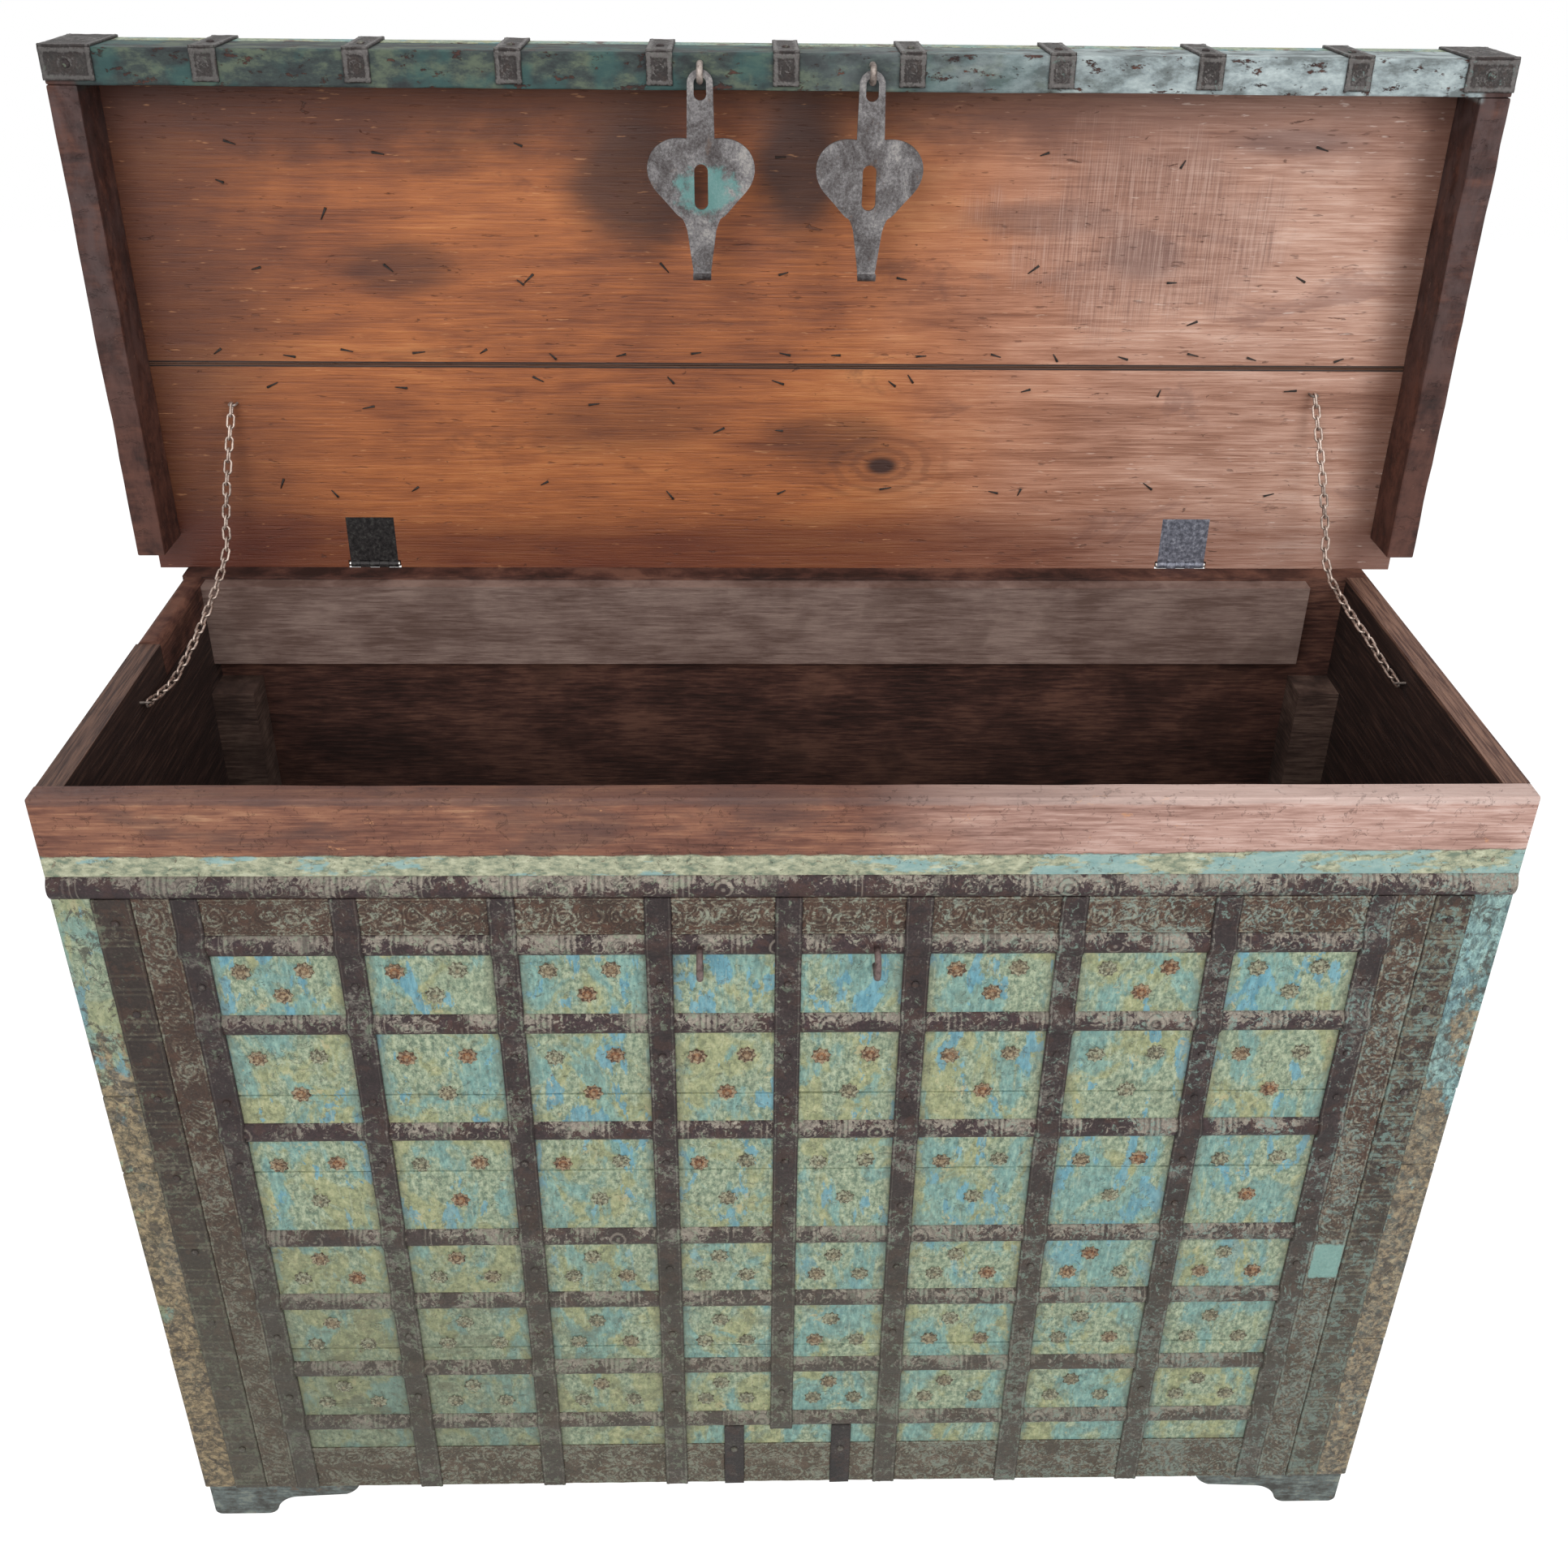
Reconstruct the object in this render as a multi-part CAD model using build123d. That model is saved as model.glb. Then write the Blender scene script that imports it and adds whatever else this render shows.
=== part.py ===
from build123d import *
from math import acos, cos, radians, sin, sqrt
import os

os.makedirs("parts", exist_ok=True)

# An iron-bound dowry chest, standing open. X runs to its right, Y to its back, Z up.
# The origin is on the floor, under the middle of the carcase. All sizes are millimetres.

# Carcase
chest_width = 1500.0
chest_depth = 564.0
carcase_height = 1053.0
foot_height = 60.0
wall = 28.0
plank_seam = 0.8
plank_seams_below_rim = (382.0, 496.0, 790.0)
post_side = 52.0
post_below_rim = 140.0
bearer_width = 25.0
bearer_height = 30.0
floor_thickness = 22.0
floor_boards = 5
back_rail_height = 107.0
back_rail_thickness = 22.0
back_rail_below_rim = 5.0
back_rail_short_end = 52.0
rim_block_length = 186.0
rim_block_height = 45.0
rim_block_round = 9.0
rim_wear = 3.0

# Bracket feet
foot_length = 196.0
foot_past_wall = 2.0
foot_inset = 4.0
foot_block = 68.0
foot_arch = 40.0
foot_tip = 20.0

# Ironwork of the front: depths run down from the rim
bare_band = 67.0
paint_strip = 24.0
band_height = 27.0
band_sagitta = 7.0
frieze_height = 46.0
row_heights = (78.0, 126.0, 138.0, 79.0, 92.0, 73.0)
lower_strip = 36.0
strap_width = 28.0
strap_thickness = 2.2
strap_centre_pitch = 135.0
strap_pitch = 160.0
straps_each_side = 4
border_width = 40.0
sheet_thickness = 1.0
over_band_gap = 0.3
short_strap_width = 25.0
short_strap_gap = 0.5
short_strap_nail = 0.6
short_strap_places = (-60.0, 77.0)
nail_radius = 4.6
nail_height = 2.6
tall_row = 100.0
border_nail_pitch = 118.0
border_nail_start = 30.0
centre_strap_tail = 6.0
band_edge_setback = 2.0
sheet_foot_gap = 2.0
end_band_inset = 40.0
end_band_rows = (0, 3, 5, 7)
end_strap_places = (-180.0, 0.0, 180.0)
end_strap_rise = 6.0
rosette_radius = 11.5
rosette_rim = 1.6
rosette_boss_radius = 4.6
rosette_height = 4.2
two_over_one = ((0.22, 0.26), (0.72, 0.24), (0.52, 0.66))
one_over_two = ((0.42, 0.26), (0.24, 0.66), (0.72, 0.66))
two_over_one_rows = 3

# Staples that the hasps close over, and the hasps
staple_wire = 7.0
staple_hole_fit = 0.1
front_staple_reach = 35.0
front_staple_height = 35.0
front_staple_below_rim = 191.5
hasp_place = 92.0
hasp_thickness = 4.0
hasp_eye_width = 27.5
hasp_eye_ring = 7.0
hasp_eye_hole = 24.0
hasp_stem_width = 30.0
hasp_heart_width = 117.0
hasp_heart_top = 66.0
hasp_heart_widest = 99.0
hasp_heart_bottom = 162.0
hasp_lobe = ((0.62, 1.5), (0.9, 13.0))
hasp_cheek = ((0.9, 17.0), (0.66, 33.0), (0.42, 48.0))
hasp_slot_width = 15.0
hasp_slot_height = 48.0
hasp_slot_centre = 116.0
hasp_tail_width = 32.0
hasp_tip_width = 20.0
hasp_tail_end = 206.0
hasp_curl_radius = 7.0
lid_staple_bend = 8.1
lid_staple_leg = 10.0

# Lid
open_angle = 91.0
lid_thickness = 25.0
lid_rest_gap = 0.5
skirt_depth = 67.0
skirt_clearance = 3.0
front_rail_thickness = 38.0
end_rail_thickness = 33.0
end_rail_setback = 38.0
lid_seam_from_axis = 256.0
lid_rear_overhang = 5.0
lid_band_count = 5
lid_first_band = 45.0
lid_last_band = 40.0
lid_strap_setback = 4.0
lid_corner_plate = 54.5
lid_wrap = 33.0
lid_rosette_places = ((0.22, -22.0), (0.72, -22.0), (0.5, 24.0))

# Butt hinges
hinge_place = 515.0
leaf_width = 60.0
leaf_height = 63.0
leaf_thickness = 2.5
knuckle_radius = 4.5
knuckle_count = 5
knuckle_gap = 0.4
pin_radius = 2.0
pin_running_fit = 0.05
pin_head_radius = 3.4
pin_head_height = 1.6
axis_behind_back = 5.0
axis_above_rim = 3.0
screw_radius = 4.0
screw_clearance = 0.1
screw_slot = 1.2
screw_across = 18.0
screw_rows = (24.0, 48.0)
hinge_room = 1.5
knuckle_room = 1.0

# Stay chains
link_pitch = 13.6
link_wire = 2.8
link_inner_width = 5.2
link_play = 0.6
anchor_wire = 3.0
anchor_span = 11.0
anchor_reach = 12.0
wall_anchor_span = 12.0
wall_anchor_tilt = 60.0
left_wall_anchor = (304.1, 34.9)
right_wall_anchor = (261.3, 32.5)
left_lid_inset = 61.0
right_lid_inset = 74.0
lid_anchor_height = 230.0
runs_from_wall = 3
left_chain_runs = ((5, -8.8, -0.8), (13, 12.8, 32.8), (3, 42.9, 50.9), (5, 75.6, 81.6))
left_chain_last_run = 7
right_chain_runs = ((6, 11.8, 19.8), (8, 9.3, 23.3), (3, 43.4, 51.4), (6, 75.0, 83.0))
right_chain_last_run = 8

# Worked out from the sizes above
half_width = chest_width / 2
front_y = -chest_depth / 2
back_y = chest_depth / 2
base_z = foot_height
rim_z = foot_height + carcase_height
inner_x = half_width - wall
inner_front = front_y + wall
inner_back = back_y - wall
foot_thickness = wall - foot_inset + foot_past_wall
floor_top = base_z + bearer_height + floor_thickness
axis_y = back_y + axis_behind_back
axis_z = rim_z + axis_above_rim
lid_inner_z = rim_z + lid_rest_gap
lid_outer_z = lid_inner_z + lid_thickness
lid_half_width = half_width + skirt_clearance + end_rail_thickness
lid_front_y = front_y - skirt_clearance - front_rail_thickness
lid_rear_y = axis_y + lid_rear_overhang
skirt_z = lid_inner_z - skirt_depth
strap_places = [0.0] + [
    side * (strap_centre_pitch + strap_pitch * number)
    for number in range(straps_each_side)
    for side in (-1, 1)
]
last_strap = max(strap_places)
inner_border = last_strap + strap_width / 2
outer_border = inner_border + border_width


def row_tops():
    """Depth below the rim at which each panel row starts."""
    depth = bare_band + paint_strip + band_height + frieze_height + band_height
    tops = []
    for height in row_heights:
        tops.append(depth)
        depth += height + band_height
    return tops


def band_tops():
    """Depth below the rim at which each half-round band starts."""
    first = bare_band + paint_strip
    second = first + band_height + frieze_height
    return [first, second] + [top + height for top, height in zip(row_tops(), row_heights)]


bands = [(rim_z - top - band_height, rim_z - top) for top in band_tops()]
strip_low_z = bands[-1][0] - lower_strip


def block(x, y, z):
    """A box between two X, two Y and two Z values."""
    size = Box(x[1] - x[0], y[1] - y[0], z[1] - z[0])
    return Pos((x[0] + x[1]) / 2, (y[0] + y[1]) / 2, (z[0] + z[1]) / 2) * size


def save(name, solids):
    """Write the separate solids of one piece, or of one group of like pieces."""
    flat = [solid for shape in solids for solid in shape.solids()]
    export_step(Compound(flat), f"parts/{name}.step")


def prism(face, x_low, x_high):
    """A face drawn in (Y, Z), drawn out along X."""
    return extrude(Plane.YZ.offset(x_low) * face, amount=x_high - x_low)


def opened(shape):
    """A piece of the lid, modelled shut, swung up to where the lid stands open."""
    return Pos(0, axis_y, axis_z) * Rot(X=-open_angle) * Pos(0, -axis_y, -axis_z) * shape


def mirrored(shape):
    return mirror(shape, about=Plane.YZ)


# Carcase


def wall_planks(x, y, gaps=plank_seams_below_rim, top=rim_z):
    """One wall as planks laid edge to edge, from the rim down."""
    edges = [top] + [rim_z - depth for depth in gaps] + [base_z]
    planks = []
    for number, (high, low) in enumerate(zip(edges, edges[1:])):
        upper = high - (plank_seam if number else 0)
        planks.append(block(x, y, (low, upper)))
    return planks


def make_carcase():
    across = (-half_width, half_width)
    between = (inner_front, inner_back)
    save("front_planks", wall_planks(across, (front_y, inner_front)))
    save("back_planks", wall_planks(across, (inner_back, back_y)))
    save("right_end_planks", wall_planks((inner_x, half_width), between))
    left = (-half_width, -inner_x)
    block_front = inner_back - rim_block_length
    seat = rim_z - rim_block_height
    planks = wall_planks(left, between, top=seat - plank_seam)
    rim_strip = block(left, (inner_front, block_front - plank_seam), (seat, rim_z - rim_wear))
    save("left_end_planks", planks + [rim_strip])
    rim_block = block(left, (block_front, inner_back), (seat, rim_z))
    worn = rim_block.edges().filter_by(Axis.Y).group_by(Axis.Z)[-1]
    save("left_rim_block", [fillet(worn, rim_block_round)])


def make_floor():
    low = base_z
    bearer_z = (low, low + bearer_height)
    span = (-inner_x, inner_x)
    front = block(span, (inner_front, inner_front + bearer_width), bearer_z)
    back = block(span, (inner_back - bearer_width, inner_back), bearer_z)
    save("floor_bearers", [front, back])
    pitch = 2 * inner_x / floor_boards
    boards = []
    for number in range(floor_boards):
        start = -inner_x + number * pitch
        x = (start, start + pitch - plank_seam)
        boards.append(block(x, (inner_front, inner_back), (low + bearer_height, floor_top)))
    save("floor_boards", boards)


def make_posts():
    top = rim_z - post_below_rim
    posts = []
    for side in (-1, 1):
        x = sorted((side * inner_x, side * (inner_x - post_side)))
        posts.append(block(x, (inner_front, inner_front + post_side), (floor_top, top)))
        posts.append(block(x, (inner_back - post_side, inner_back), (floor_top, top)))
    save("corner_posts", posts)
    high = rim_z - back_rail_below_rim
    rail = block(
        (-inner_x, inner_x - back_rail_short_end),
        (inner_back - back_rail_thickness, inner_back),
        (high - back_rail_height, high),
    )
    save("inner_back_rail", [rail])


def foot_outline(length):
    """Side view of a bracket foot: a block at the corner, then an ogee up to a rounded tip."""
    top = foot_height
    edge = foot_height - foot_arch
    shoulder = foot_block + 16
    hollow = foot_block + 44
    tip = length - foot_tip
    points = [
        Line((0, top), (0, 9)),
        ThreePointArc((0, 9), (2.6, 2.6), (9, 0)),
        Line((9, 0), (foot_block, 0)),
        ThreePointArc((foot_block, 0), (foot_block + 9, 3), (shoulder, 14)),
        ThreePointArc((shoulder, 14), (foot_block + 27, 28), (hollow, 34)),
        Line((hollow, 34), (tip, edge + foot_arch * 0.45)),
        ThreePointArc((tip, edge + foot_arch * 0.45), (tip + 13, top - 13), (length, top)),
        Line((length, top), (0, top)),
    ]
    return make_face(points)


def make_feet():
    face = foot_outline(foot_length)
    side_face = foot_outline(foot_length - foot_thickness)
    corner_x = -half_width + foot_inset
    corner_y = front_y + foot_inset
    along_x = Pos(corner_x, corner_y, 0) * extrude(Plane.XZ * face, amount=-foot_thickness)
    along_y = extrude(Plane.YZ * side_face, amount=foot_thickness)
    along_y = Pos(corner_x, corner_y + foot_thickness, 0) * along_y
    front_left = [along_x, along_y]
    for front, flip_y in (("front", False), ("back", True)):
        for hand, flip_x in (("left", False), ("right", True)):
            foot = [mirror(piece, about=Plane.XZ) if flip_y else piece for piece in front_left]
            foot = [mirrored(piece) if flip_x else piece for piece in foot]
            save(f"foot_{front}_{hand}", foot)


# Ironwork


def half_round(seat, low, high, x_low, x_high):
    """A half-round band along X, its flat on the plane y = seat, bulging to the front."""
    arc = ThreePointArc((seat, low), (seat - band_sagitta, (low + high) / 2), (seat, high))
    return prism(make_face([arc, Line((seat, high), (seat, low))]), x_low, x_high)


def strap_over(seat, low, high, over):
    """Side view of a flat strap on the plane y = seat that rides over half-round bands."""
    outer = seat - strap_thickness
    crest_in = band_sagitta + over_band_gap
    crest_out = crest_in + strap_thickness
    edges = []
    down = (outer, high)
    up = (seat, high)
    inner = []
    for band_low, band_high in sorted(over, reverse=True):
        middle = (band_low + band_high) / 2
        start = (outer, band_high + strap_thickness)
        end = (outer, band_low - strap_thickness)
        edges.append(Line(down, start))
        edges.append(ThreePointArc(start, (seat - crest_out, middle), end))
        down = end
        start = (seat, band_high + over_band_gap)
        end = (seat, band_low - over_band_gap)
        inner.append(Line(up, start))
        inner.append(ThreePointArc(start, (seat - crest_in, middle), end))
        up = end
    edges.append(Line(down, (outer, low)))
    edges.append(Line((outer, low), (seat, low)))
    inner.append(Line((seat, low), up))
    edges.append(Line((seat, high), (outer, high)))
    return make_face(edges + inner)


def dome(radius, height):
    """A round cap on the plane y = 0, facing the front."""
    ball = (radius * radius + height * height) / (2 * height)
    wide = (-2 * radius, 2 * radius)
    return (Pos(0, ball - height, 0) * Sphere(ball)) & block(wide, (-2 * height, 0), wide)


def domed_nail():
    """A nail head on the plane y = 0, facing the front."""
    return dome(nail_radius, nail_height)


def plain_rosette():
    """A flower nail on the plane y = 0, facing the front: a plate and its boss."""
    plate = Rot(X=90) * Cylinder(rosette_radius, rosette_rim, align=(Align.CENTER, Align.CENTER, Align.MIN))
    boss = Pos(0, -rosette_rim, 0) * dome(rosette_boss_radius, rosette_height - rosette_rim)
    return plate + boss


def columns():
    """X limits of the openings between one vertical strap and the next."""
    places = sorted(strap_places)
    half = strap_width / 2
    return [(left + half, right - half) for left, right in zip(places, places[1:])]


def rosette_places():
    """Three flower nails to a panel: two over one in the upper rows, one over two below."""
    places = []
    for row, (top, height) in enumerate(zip(row_tops(), row_heights)):
        for number, (left, right) in enumerate(columns()):
            middle_pair = abs(left + right) < 2 * strap_centre_pitch
            if row == 0 and middle_pair:
                continue
            for across, down in two_over_one if row < two_over_one_rows else one_over_two:
                places.append((left + across * (right - left), rim_z - top - down * height))
    return places


def make_front_iron():
    edge = half_width - band_edge_setback
    solids = [half_round(front_y, *bands[0], -edge, edge)]
    solids += [half_round(front_y, low, high, -inner_border, inner_border) for low, high in bands[1:]]
    solids[1] = solids[1] - staple_holes()
    save("front_bands", solids)
    top = bands[1][1] + frieze_height
    half = strap_width / 2
    straps = []
    for place in strap_places:
        centre = place == 0
        low = bands[-1][0] - centre_strap_tail if centre else base_z
        face = strap_over(front_y, low, top, bands[1:])
        straps.append(prism(face, place - half, place + half))
    save("front_straps", straps)
    low = base_z + sheet_foot_gap
    border = [block((side_low, side_low + border_width), (front_y - sheet_thickness, front_y), (low, top))
              for side_low in (-outer_border, inner_border)]
    save("border_sheets", border)
    strap_low = outer_border
    strap = block((strap_low, strap_low + border_width), (front_y - strap_thickness, front_y), (low, top))
    save("border_straps", [strap, mirrored(strap)])
    sheet_y = (front_y - sheet_thickness, front_y)
    save("upper_frieze", [block(column, sheet_y, (bands[1][1], bands[0][0])) for column in columns()])
    clear = [(place - short_strap_width / 2, place + short_strap_width / 2) for place in short_strap_places]
    strips = []
    for left, right in columns_without_centre():
        inside = [gap for gap in clear if left < gap[0] and gap[1] < right]
        starts = [left] + [gap[1] for gap in inside]
        ends = [gap[0] for gap in inside] + [right]
        for start, end in zip(starts, ends):
            strips.append(block((start, end), sheet_y, (low, strip_low_z)))
    save("lower_frieze", strips)
    short = strap_over(front_y, base_z, bands[-1][0] - short_strap_gap, [])
    save("short_straps", [prism(short, *gap) for gap in clear])


def columns_without_centre():
    """The openings between straps below the end of the middle strap."""
    openings = columns()
    middle = len(openings) // 2
    joined = (openings[middle - 1][0], openings[middle][1])
    return openings[: middle - 1] + [joined] + openings[middle + 1:]


def make_front_nails():
    nail = domed_nail()
    seat = front_y - strap_thickness
    nails = []
    for top, height in zip(row_tops(), row_heights):
        shares = (0.25, 0.75) if height > tall_row else (0.5,)
        for place in strap_places:
            nails += [Pos(place, seat, rim_z - top - share * height) * nail for share in shares]
    high = bands[0][0] - border_nail_start
    for number in range(int((high - base_z) / border_nail_pitch) + 1):
        for side in (-1, 1):
            x = side * (outer_border + border_width / 2)
            nails.append(Pos(x, seat, high - number * border_nail_pitch) * nail)
    for place in short_strap_places:
        nails.append(Pos(place, seat, base_z + short_strap_nail * (bands[-1][0] - base_z)) * nail)
    save("strap_nails", nails)
    rosette = plain_rosette()
    save("rosettes", [Pos(x, front_y, z) * rosette for x, z in rosette_places()])


def make_end_iron():
    """Bands and straps round both ends, clear of the lid's skirt."""
    bands_here = [bands[row] for row in end_band_rows]
    solids = []
    straps = []
    for band in bands_here:
        solid = half_round(-half_width, *band, front_y + end_band_inset, back_y - end_band_inset)
        solids += [Rot(Z=-90) * solid, Rot(Z=90) * solid]
    for place in end_strap_places:
        face = strap_over(-half_width, base_z, bands[0][1] + end_strap_rise, bands_here)
        solid = prism(face, place - strap_width / 2, place + strap_width / 2)
        straps += [Rot(Z=-90) * solid, Rot(Z=90) * solid]
    save("end_bands", solids)
    save("end_straps", straps)


def staple(wire, bend, leg):
    """A bent wire in the YZ plane: two legs from y = 0 and a bow round (0, -leg, 0)."""
    ring = Rot(Y=90) * Torus(bend, wire / 2)
    bow = ring & block((-wire, wire), (-2 * bend - wire, 0), (-2 * bend, 2 * bend))
    bow = Pos(0, -leg, 0) * bow
    shank = Rot(X=90) * Cylinder(wire / 2, leg, align=(Align.CENTER, Align.CENTER, Align.MIN))
    return bow + Pos(0, 0, bend) * shank + Pos(0, 0, -bend) * shank


def staple_holes():
    """What the front staples' legs take out of the band that they pass through."""
    z = rim_z - front_staple_below_rim
    bend = (front_staple_height - staple_wire) / 2
    hole = Rot(X=90) * Cylinder(staple_wire / 2 + staple_hole_fit, 4 * band_sagitta)
    return [Pos(side * hasp_place, front_y, z + end * bend) * hole for side in (-1, 1) for end in (-1, 1)]


def make_front_staples():
    bend = (front_staple_height - staple_wire) / 2
    leg = front_staple_reach - bend - staple_wire / 2
    shape = staple(staple_wire, bend, leg)
    z = rim_z - front_staple_below_rim
    save("front_staples", [Pos(side * hasp_place, front_y, z) * shape for side in (-1, 1)])


# Lid, modelled shut and then swung open


def hinge_pocket(side):
    """What the hinge takes out of the lid's rear board: the leaf's bed and room for the knuckles."""
    middle = side * hinge_place
    half = leaf_width / 2 + hinge_room + pin_head_height
    room = knuckle_radius + knuckle_room
    barrel_y = (axis_y - room, lid_rear_y + 1)
    barrel = block((middle - half, middle + half), barrel_y, (lid_inner_z - 1, axis_z + room))
    leaf_x = (middle - leaf_width / 2, middle + leaf_width / 2)
    bed = block(leaf_x, (axis_y - leaf_height, axis_y), (lid_inner_z - 1, lid_inner_z + leaf_thickness))
    return barrel + bed


def make_lid_boards():
    across = (-lid_half_width, lid_half_width)
    z = (lid_inner_z, lid_outer_z)
    seam = axis_y - lid_seam_from_axis
    front = block(across, (lid_front_y, seam - plank_seam), z)
    rear = block(across, (seam, lid_rear_y), z)
    rear = rear - hinge_pocket(-1) - hinge_pocket(1)
    save("lid_front_board", [opened(front)])
    save("lid_rear_board", [opened(rear)])
    skirt = (skirt_z, lid_inner_z)
    rail_y = (lid_front_y, front_y - skirt_clearance)
    save("lid_front_rail", [opened(block(across, rail_y, skirt))])
    rail_x = (half_width + skirt_clearance, lid_half_width)
    rail = block(rail_x, (rail_y[1], axis_y - end_rail_setback), skirt)
    save("lid_right_rail", [opened(rail)])
    save("lid_left_rail", [opened(mirrored(rail))])


def lid_band_places():
    """Y of each half-round band across the top of the lid, from the front back."""
    first = lid_front_y + lid_first_band
    last = lid_rear_y - lid_last_band
    step = (last - first) / (lid_band_count - 1)
    return [first + step * number for number in range(lid_band_count)]


def on_lid_top(solid):
    """Take a piece made on the plane y = 0, facing the front, to the lid's top, its Z along the depth."""
    return Pos(0, 0, lid_outer_z) * Rot(X=-90) * solid


def make_lid_iron():
    spans = [(y - band_height / 2, y + band_height / 2) for y in lid_band_places()]
    edge = lid_half_width - band_edge_setback
    lid_bands = [on_lid_top(half_round(0, low, high, -edge, edge)) for low, high in spans]
    save("lid_bands", [opened(band) for band in lid_bands])
    half = strap_width / 2
    thick = strap_thickness
    straps = []
    for place in strap_places:
        x = (place - half, place + half)
        top = on_lid_top(prism(strap_over(0, lid_front_y, lid_rear_y - lid_strap_setback, spans), *x))
        face = block(x, (lid_front_y - thick, lid_front_y), (skirt_z - thick, lid_outer_z + thick))
        under = block(x, (lid_front_y, lid_front_y + lid_wrap), (skirt_z - thick, skirt_z))
        straps.append(top + face + under)
    save("lid_straps", [opened(strap) for strap in straps])
    plates = []
    for side in (-1, 1):
        x = sorted((side * lid_half_width, side * (lid_half_width - lid_corner_plate)))
        plates.append(block(x, (lid_front_y - thick, lid_front_y), (skirt_z - thick, lid_outer_z)))
        plates.append(block(x, (lid_front_y, lid_front_y + lid_wrap), (skirt_z - thick, skirt_z)))
    plates = [plates[0] + plates[1], plates[2] + plates[3]]
    save("lid_corner_plates", [opened(plate) for plate in plates])


def make_lid_nails():
    nail = domed_nail()
    rosette = plain_rosette()
    places = lid_band_places()
    nails = []
    flowers = []
    for low, high in zip(places, places[1:]):
        middle = (low + high) / 2
        for x in strap_places:
            nails.append(on_lid_top(Pos(x, -strap_thickness, middle) * nail))
        for left, right in columns():
            for across, shift in lid_rosette_places:
                x = left + across * (right - left)
                flowers.append(on_lid_top(Pos(x, 0, middle + shift) * rosette))
    rail_z = lid_inner_z - skirt_depth / 2
    for x in strap_places:
        nails.append(Pos(x, lid_front_y - strap_thickness, rail_z) * nail)
    for side in (-1, 1):
        x = side * (lid_half_width - lid_corner_plate / 2)
        nails.append(Pos(x, lid_front_y + lid_wrap / 2, skirt_z - strap_thickness) * Rot(X=90) * nail)
    save("lid_nails", [opened(piece) for piece in nails])
    save("lid_rosettes", [opened(piece) for piece in flowers])


def hasp_pivot():
    """Where a hasp hangs, in the shut lid: the middle of its staple's bow, below the front rail."""
    rail_middle = (lid_front_y + front_y - skirt_clearance) / 2
    return rail_middle, skirt_z - lid_staple_leg


def make_lid_staples():
    y, z = hasp_pivot()
    shape = Rot(X=90) * staple(staple_wire, lid_staple_bend, lid_staple_leg)
    shapes = [Pos(side * hasp_place, y, skirt_z) * shape for side in (-1, 1)]
    save("lid_staples", [opened(shape) for shape in shapes])


def hasp_outline():
    """Front view of a hasp, hanging from the origin: eye, stem, heart and tapering tail."""
    half = hasp_eye_width / 2
    top = hasp_eye_ring / 2
    stem = hasp_stem_width / 2
    heart = hasp_heart_width / 2
    tail = hasp_tail_width / 2
    tip = hasp_tip_width / 2
    eye_z = top - half
    shoulder = (stem, -hasp_heart_top)
    neck = (tail, -hasp_heart_bottom)
    lobe = [(share * heart, -hasp_heart_top - down) for share, down in hasp_lobe]
    cheek = [(share * heart, -hasp_heart_widest - down) for share, down in hasp_cheek]
    side = [shoulder] + lobe + [(heart, -hasp_heart_widest)] + cheek + [neck]
    right = [
        ThreePointArc((0, top), (half * 0.7071, eye_z + half * 0.7071), (half, eye_z)),
        Line((half, eye_z), shoulder),
        Spline(side, tangents=[(1, 0.1), (-0.3, -1)]),
        Line(neck, (tip, -hasp_tail_end)),
    ]
    left = [mirror(edge, about=Plane.YZ) for edge in right]
    return make_face(right + left + [Line((tip, -hasp_tail_end), (-tip, -hasp_tail_end))])


def slot_hole(width, height, centre_z):
    """A cutter with round ends, through a hasp."""
    radius = width / 2
    straight = height - width
    cutter = Box(width, 4 * hasp_thickness, straight)
    end = Rot(X=90) * Cylinder(radius, 4 * hasp_thickness)
    cutter += Pos(0, 0, straight / 2) * end
    cutter += Pos(0, 0, -straight / 2) * end
    return Pos(0, 0, centre_z) * cutter


def hasp():
    """A hasp hanging straight down, its eye round the origin and its plate in the XZ plane."""
    plate = extrude(Plane.XZ * hasp_outline(), amount=hasp_thickness / 2, both=True)
    eye_width = hasp_eye_width - 2 * hasp_eye_ring
    plate = plate - slot_hole(eye_width, hasp_eye_hole, -hasp_eye_ring / 2 - hasp_eye_hole / 2)
    plate = plate - slot_hole(hasp_slot_width, hasp_slot_height, -hasp_slot_centre)
    outer = hasp_curl_radius + hasp_thickness / 2
    inner = hasp_curl_radius - hasp_thickness / 2
    curl = Rot(Y=90) * (Cylinder(outer, hasp_tip_width) - Cylinder(inner, 2 * hasp_tip_width))
    keep = block((-hasp_tip_width, hasp_tip_width), (-outer, outer), (-outer, 0))
    curl = curl & keep
    return plate + Pos(0, -hasp_curl_radius, -hasp_tail_end) * curl


def make_hasps():
    y, z = hasp_pivot()
    where = opened(Pos(0, y, z) * Box(1, 1, 1)).center()
    shape = hasp()
    for name, side in (("hasp_left", -1), ("hasp_right", 1)):
        save(name, [Pos(side * hasp_place, where.Y, where.Z) * shape])
    print("hasp pivot", round(where.Y, 3), round(where.Z, 3))


# Butt hinges


def knuckles(parity):
    """The barrel segments of one leaf, as X limits about the middle of the hinge."""
    step = leaf_width / knuckle_count
    start = -leaf_width / 2
    return [
        (start + number * step + knuckle_gap / 2, start + (number + 1) * step - knuckle_gap / 2)
        for number in range(knuckle_count) if number % 2 == parity
    ]


def screw_places():
    """Three screws to a leaf: (X, distance from the pin)."""
    near, far = screw_rows
    return [(-screw_across, near), (screw_across, near), (0.0, far)]


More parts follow.
